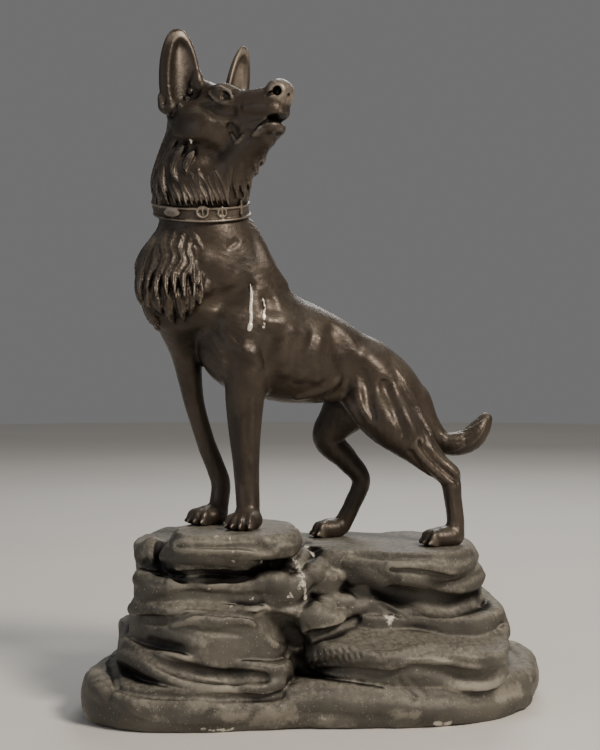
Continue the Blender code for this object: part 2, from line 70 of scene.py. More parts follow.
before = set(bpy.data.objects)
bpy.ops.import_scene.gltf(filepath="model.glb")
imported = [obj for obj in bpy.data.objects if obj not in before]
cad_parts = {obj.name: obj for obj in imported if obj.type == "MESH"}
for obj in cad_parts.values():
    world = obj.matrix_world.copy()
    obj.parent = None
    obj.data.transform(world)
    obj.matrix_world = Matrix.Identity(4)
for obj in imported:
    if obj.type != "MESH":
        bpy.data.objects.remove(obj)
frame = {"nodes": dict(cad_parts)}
CAD_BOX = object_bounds()

# The figure's scale and place, from its box in the frame
FIGURE_SPAN = 103.237
HIND_DROP = 4.2
REACH_LEFT = 35.945
REACH_NEAR = 27.98
DOG_LOW, DOG_HIGH = (np.array(corner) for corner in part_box("dog"))
PART = float(DOG_HIGH[2] - DOG_LOW[2]) / FIGURE_SPAN
ORIGIN = DOG_LOW + np.array([REACH_LEFT, REACH_NEAR, HIND_DROP]) * PART

# How far apart samples of a field are, in parts: to move places onto it, and to read which way it faces
FEEL = 0.3
FACE = 0.4
# Left of this place the front stand carries the figure, right of it the ledge behind
STEP_AT = -1.5

# Fields


def unit(way: Spot) -> Array:
    """Return a direction at length one."""
    row = np.asarray(way, float)
    return row / np.linalg.norm(row)


def axes(way: Spot, crown: Spot) -> Array:
    """Return three square directions as rows: along way, across it, and towards crown.

    Args:
        way: The first direction.
        crown: A direction near the third one.

    Returns:
        The directions, one to a row.
    """
    along = unit(way)
    across = unit(np.cross(crown, along))
    return np.array([along, across, np.cross(along, across)])


def soft_min(a: Array, b: Array, ease: float) -> Array:
    """Join two fields: the lower of both, eased over a width by a parabola where they meet."""
    share = np.clip(0.5 + 0.5 * (b - a) / ease, 0.0, 1.0)
    return b + (a - b) * share - ease * share * (1.0 - share)


def soft_max(a: Array, b: Array, ease: float) -> Array:
    """Keep what two fields share: the higher of both, eased where they meet."""
    return -soft_min(-a, -b, ease)


def smooth_step(value: Array, low: float, high: float) -> Array:
    """Rise from 0 to 1 between two values, as 3t squared less 2t cubed."""
    t = np.clip((value - low) / (high - low), 0.0, 1.0)
    return t * t * (3.0 - 2.0 * t)


def flowing(stations: Array, steps: int) -> Array:
    """Read rows from a smooth curve through the stations: a cubic through each four of them.

    Args:
        stations: Rows that the curve passes through.
        steps: Rows from one station to the next.

    Returns:
        The rows of the curve.
    """
    if len(stations) < 3:
        return stations
    row = np.vstack([2 * stations[0] - stations[1], stations, 2 * stations[-1] - stations[-2]])
    t = (np.arange(steps) / steps)[None, :, None]
    before, start, end, after = (row[i : len(row) - 3 + i][:, None, :] for i in range(4))
    curve = 0.5 * (
        2 * start
        + (end - before) * t
        + (2 * before - 5 * start + 4 * end - after) * t**2
        + (3 * start - before - 3 * end + after) * t**3
    )
    return np.vstack([curve.reshape(-1, stations.shape[1]), row[-2:-1]])


class Noise:
    """Smooth noise: random values on a lattice, eased between its corners."""

    def __init__(self, seed: int) -> None:
        """Shuffle the lattice's numbers with a seed.

        Args:
            seed: What the shuffle starts from.
        """
        draw = np.random.default_rng(seed)
        self.order = np.concatenate([draw.permutation(256)] * 2)
        self.value = draw.uniform(-1.0, 1.0, 256)

    def __call__(self, points: Array) -> Array:
        """Return one value between -1 and 1 for each place, one lattice step to a unit.

        Args:
            points: Places, in lattice steps.

        Returns:
            The noise at each place.
        """
        cell = np.floor(points).astype(np.int64)
        t = points - cell
        t = t * t * (3.0 - 2.0 * t)
        cell &= 255
        total = np.zeros(len(points))
        for i in (0, 1):
            wx = t[:, 0] if i else 1.0 - t[:, 0]
            hx = self.order[(cell[:, 0] + i) & 255]
            for j in (0, 1):
                wy = t[:, 1] if j else 1.0 - t[:, 1]
                hy = self.order[(hx + cell[:, 1] + j) & 255]
                for k in (0, 1):
                    wz = t[:, 2] if k else 1.0 - t[:, 2]
                    total += wx * wy * wz * self.value[self.order[(hy + cell[:, 2] + k) & 255]]
        return total

    def layered(self, points: Array, octaves: int, gain: float = 0.5) -> Array:
        """Add octaves of noise, each half as wide and gain times as strong as the last.

        Args:
            points: Places, in steps of the widest octave.
            octaves: How many octaves.
            gain: Each one's strength as a share of the last.

        Returns:
            The sum at each place.
        """
        total = np.zeros(len(points))
        for octave in range(octaves):
            total += gain**octave * self(points * 2.0**octave + 17.3 * octave)
        return total


@dataclass
class Form:
    """A form that changes a field inside its own box."""

    ease: float = 1.0

    def box(self) -> tuple[Array, Array]:
        """Return the corners of the box outside which the form changes nothing."""
        raise NotImplementedError

    def apply(self, points: Array, before: Array) -> Array:
        """Return the field with this form in it.

        Args:
            points: Places inside the form's box.
            before: The field there without the form.

        Returns:
            The field there with the form.
        """
        raise NotImplementedError


@dataclass
class Limb(Form):
    """A round limb of changing girth along a smooth line, narrowed along one direction."""

    stations: Sequence[tuple[Spot, float]] = ()
    steps: int = 9
    narrow_way: Spot | None = None
    narrow: float = 1.0
    cut: bool = False

    def __post_init__(self) -> None:
        """Work out the rows of place and girth."""
        known = np.array([[*spot, girth] for spot, girth in self.stations], float)
        self.rows = flowing(known, self.steps)
        self.centre = self.rows[:, :3].mean(axis=0)

    def box(self) -> tuple[Array, Array]:
        """Return the corners of the limb's box, with room for its ease."""
        room = (self.rows[:, 3] + 3.0 * self.ease)[:, None]
        return (self.rows[:, :3] - room).min(axis=0), (self.rows[:, :3] + room).max(axis=0)

    def widened(self, points: Array) -> Array:
        """Stretch places along the narrow direction, which narrows what they meet.

        Args:
            points: Places.

        Returns:
            The places, stretched.
        """
        if self.narrow_way is None:
            return points
        way = unit(self.narrow_way)
        return points + np.outer((points - self.centre) @ way, way) * (1.0 / self.narrow - 1.0)

    def distance(self, points: Array) -> Array:
        """Return the distance to the limb: to the two short cones on each side of the nearest knot.

        Args:
            points: Places.

        Returns:
            The distances.
        """
        places = self.widened(points)
        knots, girths = self.widened(self.rows[:, :3]), self.rows[:, 3]
        nearest = np.empty(len(points))
        for part in range(0, len(points), BATCH):
            some = places[part : part + BATCH]
            reach = (some**2).sum(axis=1)[:, None] + (knots**2).sum(axis=1) - 2.0 * some @ knots.T
            knot = (np.sqrt(np.maximum(reach, 0.0)) - girths).argmin(axis=1)
            sides = []
            for start in (np.maximum(knot - 1, 0), np.minimum(knot, len(knots) - 2)):
                line = knots[start + 1] - knots[start]
                gap = some - knots[start]
                share = np.einsum("ij,ij->i", gap, line) / np.einsum("ij,ij->i", line, line)
                share = np.clip(share, 0.0, 1.0)
                gap = gap - share[:, None] * line
                girth = girths[start] + (girths[start + 1] - girths[start]) * share
                sides.append(np.sqrt(np.einsum("ij,ij->i", gap, gap)) - girth)
            nearest[part : part + BATCH] = np.minimum(*sides)
        return nearest * self.narrow**0.5

    def apply(self, points: Array, before: Array) -> Array:
        """Join the limb to the field, or cut it out.

        Args:
            points: Places.
            before: The field there.

        Returns:
            The field with the form.
        """
        if self.cut:
            return soft_max(before, -self.distance(points), self.ease)
        return soft_min(before, self.distance(points), self.ease)


@dataclass
class Mass(Form):
    """An ellipsoid, its first radius along way and its third towards crown."""

    centre: Spot = (0.0, 0.0, 0.0)
    radii: Spot = (1.0, 1.0, 1.0)
    way: Spot = (1.0, 0.0, 0.0)
    crown: Spot = (0.0, 0.0, 1.0)
    cut: bool = False

    def box(self) -> tuple[Array, Array]:
        """Return the corners of the ellipsoid's box, with room for its ease.

        Returns:
            Its lowest and highest corner.
        """
        room = max(self.radii) + 3.0 * self.ease
        middle = np.asarray(self.centre, float)
        return middle - room, middle + room

    def apply(self, points: Array, before: Array) -> Array:
        """Join or cut the ellipsoid, by k(k - 1)/g with k and g the scaled lengths.

        Args:
            points: Places.
            before: The field there.

        Returns:
            The field with the form.
        """
        radii = np.asarray(self.radii, float)
        local = (points - np.asarray(self.centre, float)) @ axes(self.way, self.crown).T
        length = np.linalg.norm(local / radii, axis=1)
        slope = np.maximum(np.linalg.norm(local / radii**2, axis=1), 1e-9)
        gap = length * (length - 1.0) / slope
        if self.cut:
            return soft_max(before, -gap, self.ease)
        return soft_min(before, gap, self.ease)


class Solid:
    """A field built up by forms, one after another."""

    def __init__(self, forms: Sequence[Form]) -> None:
        """Keep the forms in order."""
        self.forms = list(forms)

    def __call__(self, points: Array) -> Array:
        """Return the field at each place.

        Args:
            points: Places.

        Returns:
            The field there.
        """
        value = np.full(len(points), FAR_OFF)
        for form in self.forms:
            low, high = form.box()
            inside = np.flatnonzero(((points > low) & (points < high)).all(axis=1))
            if len(inside):
                value[inside] = form.apply(points[inside], value[inside])
        return value

    def slope(self, points: Array, step: float) -> Array:
        """Return the field's gradient from four places around each one.

        Args:
            points: Places.
            step: How far apart the four samples are.

        Returns:
            The gradient at each place.
        """
        corners = np.array([[1, -1, -1], [-1, -1, 1], [-1, 1, -1], [1, 1, 1]], float)
        total = np.zeros_like(points)
        for corner in corners:
            total += corner * self(points + step * corner)[:, None]
        return total / (4.0 * step)

    def settled(self, points: Array, step: float, rounds: int) -> Array:
        """Move places onto the surface: along the gradient by field over slope.

        Args:
            points: Places near the surface.
            step: A third of the longest move.
            rounds: How often they move.

        Returns:
            The places, on the surface.
        """
        for _ in range(rounds):
            slope = self.slope(points, step)
            steep = np.maximum(np.einsum("ij,ij->i", slope, slope), 0.09)
            pace = np.clip(self(points), -3.0 * step, 3.0 * step) / steep
            points = points - slope * pace[:, None]
        return points


def sampled(distance: Measure, low: Array, counts: Array, grain: float) -> Array:
    """Sample a field on a grid, finely only near its surface.

    Args:
        distance: The field.
        low: The grid's first corner.
        counts: Samples along each axis.
        grain: The grid's step.

    Returns:
        The field on the grid, of the right sign everywhere and exact near the surface.
    """
    values = near = None
    levels = (8, 2, 1)
    for before, level in zip((None, *levels[:-1]), levels):
        shape = tuple(int(n) for n in -(-counts // level))
        if values is None:
            mask = np.ones(shape, bool)
            values = np.empty(shape, np.float32)
        else:
            for axis in range(3):
                near = near | np.roll(near, 1, axis) | np.roll(near, -1, axis)
            times = before // level
            for axis in range(3):
                near = near.repeat(times, axis)
                values = values.repeat(times, axis)
            near, values = (grid[: shape[0], : shape[1], : shape[2]] for grid in (near, values))
            mask = near
            values = values.copy()
        spots = low + (np.argwhere(mask) * level + (level - 1) / 2) * grain
        values[mask] = distance(spots)
        near = np.abs(values) < 1.5 * level * grain
    return values


def net(distance: Measure, low: Spot, high: Spot, grain: float) -> tuple[Array, Array]:
    """Draw a net over a field's surface: a knot in each crossed cell, a quad over each crossed edge.

    Args:
        distance: The field.
        low: One corner of the space to search.
        high: The other corner.
        grain: The grid's step, which is about the net's mesh.

    Returns:
        The knots and the quads, facing out.
    """
    low, high = np.asarray(low, float), np.asarray(high, float)
    counts = np.ceil((high - low) / grain).astype(int) + 1
    values = sampled(distance, low, counts, grain)
    inside = values < 0
    ends = (slice(None, -1), slice(1, None))
    corners = [(i, j, k) for i in (0, 1) for j in (0, 1) for k in (0, 1)]
    filled = sum(inside[ends[i], ends[j], ends[k]].astype(np.int8) for i, j, k in corners)
    crossed = (filled > 0) & (filled < 8)
    cells = np.argwhere(crossed)
    number = np.full(crossed.shape, -1, np.int32)
    number[crossed] = np.arange(len(cells))
    total, hits = np.zeros((len(cells), 3)), np.zeros(len(cells))
    for start in corners:
        for axis in range(3):
            if start[axis]:
                continue
            end = tuple(1 if i == axis else start[i] for i in range(3))
            a = values[tuple((cells + start).T)]
            b = values[tuple((cells + end).T)]
            cut = (a < 0) != (b < 0)
            share = np.where(cut, a / np.where(cut, a - b, 1.0), 0.0)
            spot = np.array(start) + np.eye(3)[axis] * share[:, None]
            total[cut] += spot[cut]
            hits[cut] += 1
    knots = low + (cells + total / hits[:, None]) * grain
    quads = []
    for axis in range(3):
        u, v = ((1, 2), (2, 0), (0, 1))[axis]
        first = [slice(1, -1)] * 3
        first[axis] = slice(None, -1)
        second = list(first)
        second[axis] = slice(1, None)
        a, b = inside[tuple(first)], inside[tuple(second)]
        base = np.argwhere(a != b)
        outward = a[tuple(base.T)]
        base[:, [u, v]] += 1
        ring = []
        for du, dv in ((-1, -1), (0, -1), (0, 0), (-1, 0)):
            corner = base.copy()
            corner[:, u] += du
            corner[:, v] += dv
            ring.append(number[tuple(corner.T)])
        quad = np.stack(ring, axis=1)
        quad[~outward] = quad[~outward][:, ::-1]
        quads.append(quad)
    return knots, np.concatenate(quads)


# The photograph's viewpoint


@dataclass(frozen=True)
class Viewpoint:
    """The camera of the photograph, by which a picture place lands on what it shows."""

    place: Trio = (-0.01492, -1.24717, 0.304)
    drop: float = 0.02666
    lens: float = 72.0
    long_side: float = 36.0
    columns: int = 600
    rows: int = 750
    nearest: float = 1.0
    farthest: float = 1.5
    samples: int = 150
    halvings: int = 6

    def sights(self, pixels: Array) -> Array:
        """Return the line of sight of each (column, row), pitched down by the camera's drop.

        Args:
            pixels: Picture places.

        Returns:
            One direction for each.
        """
        focal = self.lens / self.long_side * self.rows
        right = (pixels[:, 0] - self.columns / 2) / focal
        rise = (self.rows / 2 - pixels[:, 1]) / focal
        c, s = np.cos(self.drop), np.sin(self.drop)
        return unit_rows(np.stack([right, c + rise * s, rise * c - s], axis=1))

    def landed(self, solid: Solid, pixels: Sequence[Spot]) -> Array:
        """Follow lines of sight to a solid in figure parts.

        Args:
            solid: The field that is met.
            pixels: Columns and rows of the picture.

        Returns:
            The first places met, or where a line misses, the nearest place of the solid.
        """
        ways = self.sights(np.asarray(pixels, float))
        start = (np.array(self.place) - ORIGIN) / PART
        reach = np.linspace(self.nearest, self.farthest, self.samples) / PART
        spots = start + ways[:, None, :] * reach[None, :, None]
        values = solid(spots.reshape(-1, 3)).reshape(spots.shape[:2])
        met = values < 0
        first = np.where(met.any(axis=1), met.argmax(axis=1), values.argmin(axis=1))
        places = spots[np.arange(len(ways)), first]
        step = reach[1] - reach[0]
        for _ in range(self.halvings):
            step *= 0.5
            inside = solid(places) < 0
            hit = met.any(axis=1)
            places = places + ways * (np.where(inside, -step, step) * hit)[:, None]
        missed = ~met.any(axis=1)
        if missed.any():
            places[missed] = solid.settled(places[missed], FEEL, 12)
        return places


def unit_rows(rows: Array) -> Array:
    """Return each row at length one."""
    return rows / np.maximum(np.linalg.norm(rows, axis=-1, keepdims=True), 1e-9)


VIEW = Viewpoint()

# The figure's forms


@dataclass
class Lock(Form):
    """A tapering lock of hair on the skin, its strands parted by grooves.

    Its cross-section is an ellipse, wide along the skin and low above it. The grooves follow the
    cosine of the distance across it, so that they run together towards its tip.
    """

    line: Array = None
    normals: Array = None
    widths: Array = None
    heights: Array = None
    strands: float = 3.0
    groove: float = 0.12
    phase: float = 0.0

    def box(self) -> tuple[Array, Array]:
        """Return the corners of the lock's box."""
        room = (np.maximum(self.widths, self.heights) + 2.0 * self.ease + 0.3)[:, None]
        return (self.line - room).min(axis=0), (self.line + room).max(axis=0)

    def apply(self, points: Array, before: Array) -> Array:
        """Lay the lock over the field.

        Args:
            points: Places.
            before: The field there.

        Returns:
            The field with the form.
        """
        best = np.full(len(points), np.inf)
        across = np.zeros(len(points))
        tilt = np.full(len(points), -1.0)
        for i in range(len(self.line) - 1):
            step = self.line[i + 1] - self.line[i]
            share = np.clip((points - self.line[i]) @ step / (step @ step), 0.0, 1.0)
            gap = points - self.line[i] - share[:, None] * step
            up = unit(self.normals[i] + self.normals[i + 1])
            along = unit(step)
            side = unit(np.cross(along, up))
            up = np.cross(side, along)
            wide = self.widths[i] + (self.widths[i + 1] - self.widths[i]) * share
            high = self.heights[i] + (self.heights[i + 1] - self.heights[i]) * share
            x, y, z = (gap @ side) / wide, (gap @ up) / high, (gap @ along) / wide
            length = np.sqrt(x * x + y * y + z * z)
            slope = np.sqrt((x / wide) ** 2 + (y / high) ** 2 + (z / wide) ** 2)
            distance = length * (length - 1.0) / np.maximum(slope, 1e-6)
            nearer = distance < best
            best = np.where(nearer, distance, best)
            across = np.where(nearer, x, across)
            tilt = np.where(nearer, y, tilt)
        furrow = 0.5 - 0.5 * np.cos(np.pi * self.strands * across + self.phase)
        best = best + self.groove * furrow**3 * smooth_step(tilt, -0.6, 0.3)
        return soft_min(before, best, self.ease)


@dataclass
class Comb:
    """Draws locks over a skin along a flow."""

    skin: Solid
    seed: int = 5

    def __post_init__(self) -> None:
        """Seed the small differences between locks."""
        self.draw = np.random.default_rng(self.seed)

    def traced(
        self, starts: Array, ways: Array, length: float, steps: int, sway: Array
    ) -> tuple[Array, Array]:
        """Walk over the skin from each start, each step turned by a sine of the way gone.

        Args:
            starts: First places.
            ways: The way each lock lies.
            length: How far it goes, in parts.
            steps: Steps in that length.
            sway: How far each lock swings aside.

        Returns:
            Places and skin normals, one row for each lock.
        """
        spots = self.skin.settled(starts, FEEL, 3)
        line, normals = [], []
        for step in range(steps + 1):
            up = unit_rows(self.skin.slope(spots, FEEL))
            line.append(spots)
            normals.append(up)
            side = unit_rows(np.cross(ways, up))
            swing = np.cos(np.pi * 1.7 * step / steps)
            ahead = ways + side * (sway * swing)[:, None]
            ahead = unit_rows(ahead - up * np.einsum("ij,ij->i", ahead, up)[:, None])
            spots = self.skin.settled(spots + ahead * length / steps, FEEL, 2)
        return np.stack(line, axis=1), np.stack(normals, axis=1)

    def lock(self, line: Array, normals: Array, width: float, height: float, **style: float) -> Lock:
        """Shape one lock: widest before its middle, rising towards a pointed tip.

        Args:
            line: Places along the lock.
            normals: The skin's directions there.
            width: Its half width.
            height: Its height.
            style: Other fields of Lock.

        Returns:
            The lock.
        """
        share = np.linspace(0.0, 1.0, len(line))
        swell = 0.45 + 0.6 * np.sin(np.pi * share**0.8)
        swell *= 1.0 - 0.72 * share**5
        widths = width * np.maximum(swell, 0.2)
        heights = height * (0.5 + 0.6 * share) * np.maximum(1.0 - 0.6 * share**6, 0.2)
        lift = heights * (-0.45 + 0.65 * smooth_step(share, 0.1, 0.9))
        style.setdefault("ease", 0.35)
        return Lock(
            line=line + normals * lift[:, None],
            normals=normals,
            widths=widths,
            heights=heights,
            phase=self.draw.uniform(-0.8, 0.8),
            **style,
        )

    def row(
        self, starts: Array, ways: Array, length: float, width: float, height: float, **style: float
    ) -> list[Form]:
        """Lay a row of locks, each a little unlike the next.

        Args:
            starts: First places.
            ways: The way each lock lies.
            length: How long they are.
            width: Their half width.
            height: Their height.
            style: Other fields of Lock.

        Returns:
            One lock for each start.
        """
        count = len(starts)
        sway = self.draw.uniform(-0.5, 0.5, count)
        line, normals = self.traced(starts, ways, length, 8, sway)
        size = self.draw.uniform(0.85, 1.15, count)
        return [
            self.lock(line[k], normals[k], width * size[k], height * size[k], **style) for k in range(count)
        ]

    def drawn(self, pixels: Sequence[Spot], width: float, height: float, **style: float) -> Lock:
        """Lay one lock along places in the picture.

        Args:
            pixels: Picture places.
            width: Its half width.
            height: Its height.
            style: Other fields of Lock.

        Returns:
            The lock.
        """
        row = flowing(np.asarray(pixels, float), 3)
        line = VIEW.landed(self.skin, row)
        line = self.skin.settled(line, FEEL, 2)
        line = line[unbroken(line)]
        normals = unit_rows(self.skin.slope(line, FACE))
        return self.lock(line, normals, width, height, **style)


class HeadFrame:
    """Places on the head: along the muzzle, to the dog's left and up, in parts."""

    origin = np.array([-22.9, -12.6, 86.1])
    turn, lift, roll = np.radians([-38.0, -6.0, -6.0])
    frame = np.array(
        Matrix.Rotation(turn, 3, "Z") @ Matrix.Rotation(lift, 3, "Y") @ Matrix.Rotation(roll, 3, "X")
    )

    def __call__(self, forward: float, left: float, up: float) -> Array:
        """Turn a place on the head into a figure place."""
        return self.origin + self.frame @ np.array([forward, left, up])

    def way(self, forward: float, left: float, up: float) -> Array:
        """Turn a direction on the head into a figure direction."""
        return self.frame @ np.array([forward, left, up])

    def local(self, points: Array) -> Array:
        """Turn figure places into places on the head."""
        return (points - self.origin) @ self.frame


HEAD = HeadFrame()
MUZZLE_WAY = HEAD.way(1, 0, 0)
CROWN_WAY = HEAD.way(0, 0, 1)


@dataclass
class Ear(Form):
    """An upright ear: a flame-shaped leaf, hollowed on the side that it faces.

    Its half width falls from its widest place to the tip as a half ellipse, and each level is an
    ellipse. The hollow is a smaller flame set forward and aside, so that one rim stays broad.
    """

    base: Spot = (0.0, 0.0, 0.0)
    tip: Spot = (0.0, 0.0, 1.0)
    facing: Spot = (1.0, 0.0, 0.0)
    half_width: float = 4.2
    thick: float = 0.42
    hollow: float = 0.68
    aside: float = 0.17
    widest: float = 0.26
    leaf_top: float = 1.02
    pit_top: float = 0.90
    pit_end: float = 0.86

    def __post_init__(self) -> None:
        """Work out the leaf's own directions."""
        rise = np.asarray(self.tip, float) - self.base
        self.height = np.linalg.norm(rise)
        self.axis = rise / self.height
        facing = np.asarray(self.facing, float)
        self.front = unit(facing - self.axis * (facing @ self.axis))
        self.across = np.cross(self.axis, self.front)

    def box(self) -> tuple[Array, Array]:
        """Return the corners of the ear's box."""
        ends = np.array([self.base, self.tip])
        return ends.min(axis=0) - 7.0, ends.max(axis=0) + 7.0

    def local(self, points: Array) -> tuple[Array, Array, Array]:
        """Return each place's share of the height, its way across and its way forward."""
        local = points - np.asarray(self.base, float)
        return (local @ self.axis) / self.height, local @ self.across, local @ self.front

    def reach(self, share: Array, top: float) -> Array:
        """Return the half width at each share of the height, as a share of the widest."""
        away = np.clip((share - self.widest) / (top - self.widest), -0.8, 1.0)
        return np.sqrt(np.maximum(1.0 - away**2, 0.0)) + 0.004

    def flame(self, across: Array, ahead: Array, width: Array, depth: Array) -> Array:
        """Distance to an ellipse of the given half width and half depth: k(k - 1)/g.

        Args:
            across: Ways across.
            ahead: Ways forward.
            width: Half widths.
            depth: Half depths.

        Returns:
            The distances.
        """
        length = np.sqrt((across / width) ** 2 + (ahead / depth) ** 2)
        slope = np.sqrt((across / width**2) ** 2 + (ahead / depth**2) ** 2)
        return length * (length - 1.0) / np.maximum(slope, 1e-6)

    def apply(self, points: Array, before: Array) -> Array:
        """Join the leaf to the field and hollow it.

        Args:
            points: Places.
            before: The field there.

        Returns:
            The field with the form.
        """
        share, across, ahead = self.local(points)
        held = np.clip(share, 0.0, 1.1)
        width = self.half_width * self.reach(held, self.leaf_top)
        depth = np.maximum(width * self.thick, 0.25) * (1.0 - 0.25 * held)
        leaf = self.flame(across, ahead + 0.35 * depth, width, depth)
        leaf = soft_max(leaf, -share * self.height - 1.5, 1.5)
        leaf = soft_max(leaf, (share - 1.0) * self.height - 0.15, 0.5)
        joined = soft_min(before, leaf, self.ease)
        inner = np.maximum(width * self.hollow * self.reach(held, self.pit_top), 0.02)
        pit = self.flame(across - self.aside * width, ahead - 0.72 * depth, inner, depth * 1.25)
        pit = soft_max(pit, -share * self.height + 0.4, 1.2)
        pit = soft_max(pit, (share - self.pit_end) * self.height, 1.5)
        return soft_max(joined, -pit, 1.0)


class Side(Enum):
    """A side of the head, by the sign of its places: the near one faces the camera."""

    NEAR = -1
    FAR = 1


class Half(Enum):
    """What lies on one side of the collar's middle plane, by the sign that keeps it."""

    HEAD = -1.0
    BODY = 1.0


def along(solid: Solid, pixels: Sequence[Spot], depth: float = 0.0) -> Array:
    """Land places of the picture on a solid, then sink them below its skin by a depth."""
    spots = solid.settled(VIEW.landed(solid, pixels), FEEL, 2)
    return spots - depth * unit_rows(solid.slope(spots, FACE))


def unbroken(spots: Array) -> Array:
    """Find the longest stretch of a line that doesn't leap from one form to another behind it.

    Args:
        spots: Places along the line.

    Returns:
        The rows of that stretch.
    """
    gaps = np.linalg.norm(np.diff(spots, axis=0), axis=1)
    leaps = np.flatnonzero(gaps > 2.5 * np.median(gaps) + 0.8) + 1
    return max(np.split(np.arange(len(spots)), leaps), key=len)


def ridge(solid: Solid, pixels: Sequence[Spot], girth: Spot, sink: float, ease: float) -> Limb:
    """Raise a rounded ridge along places of the picture, sunk by a share of its girth.

    Args:
        solid: What it lies on.
        pixels: Picture places.
        girth: Girths from end to end.
        sink: Depth as a share of its girth.
        ease: How softly it joins.

    Returns:
        The ridge.
    """
    spots = along(solid, flowing(np.asarray(pixels, float), 3))
    normals = unit_rows(solid.slope(spots, FACE))
    girths = np.interp(np.linspace(0, 1, len(spots)), np.linspace(0, 1, len(girth)), girth)
    kept = [(spots[k] - normals[k] * girths[k] * sink, girths[k]) for k in unbroken(spots)]
    return Limb(ease, kept, 2)


def furrow(solid: Solid, pixels: Sequence[Spot], girth: Spot, lift: float, ease: float) -> Limb:
    """Cut a rounded furrow along places of the picture, lifted by a share of its girth.

    Args:
        solid: What it is cut into.
        pixels: Picture places.
        girth: Girths from end to end.
        lift: Height as a share of its girth.
        ease: How softly it joins.

    Returns:
        The furrow.
    """
    made = ridge(solid, pixels, girth, -lift, ease)
    made.cut = True
    return made


def mirrored(form: Form) -> Form:
    """Return a form again on the head's other side.

    Args:
        form: A form of the near side.

    Returns:
        Its twin on the far side.
    """
    other = copy.copy(form)
    if isinstance(form, Mass):
        way, crown = ((HEAD.frame.T @ np.asarray(v, float)) * (1, -1, 1) for v in (form.way, form.crown))
        other.centre = HEAD(*(HEAD.local(np.asarray(form.centre, float)) * (1, -1, 1)))
        other.way, other.crown = HEAD.way(*way), HEAD.way(*crown)
    elif isinstance(form, Limb):
        other.rows = form.rows.copy()
        local = HEAD.local(form.rows[:, :3]) * (1, -1, 1)
        other.rows[:, :3] = HEAD.origin + local @ HEAD.frame.T
        other.centre = other.rows[:, :3].mean(axis=0)
    return other


@dataclass
class Ring(Form):
    """A round ring that faces along way: the distance to its middle circle, less its girth."""

    centre: Spot = (0.0, 0.0, 0.0)
    way: Spot = (0.0, 0.0, 1.0)
    radius: float = 1.0
    girth: float = 0.3

    def box(self) -> tuple[Array, Array]:
        """Return the corners of the ring's box."""
        room = self.radius + self.girth + 3.0 * self.ease
        return np.asarray(self.centre, float) - room, np.asarray(self.centre, float) + room

    def apply(self, points: Array, before: Array) -> Array:
        """Join the ring to the field.

        Args:
            points: Places.
            before: The field there.

        Returns:
            The field with the form.
        """
        local = points - np.asarray(self.centre, float)
        over = local @ unit(self.way)
        out = np.sqrt(np.maximum(np.einsum("ij,ij->i", local, local) - over**2, 0.0)) - self.radius
        return soft_min(before, np.sqrt(out**2 + over**2) - self.girth, self.ease)


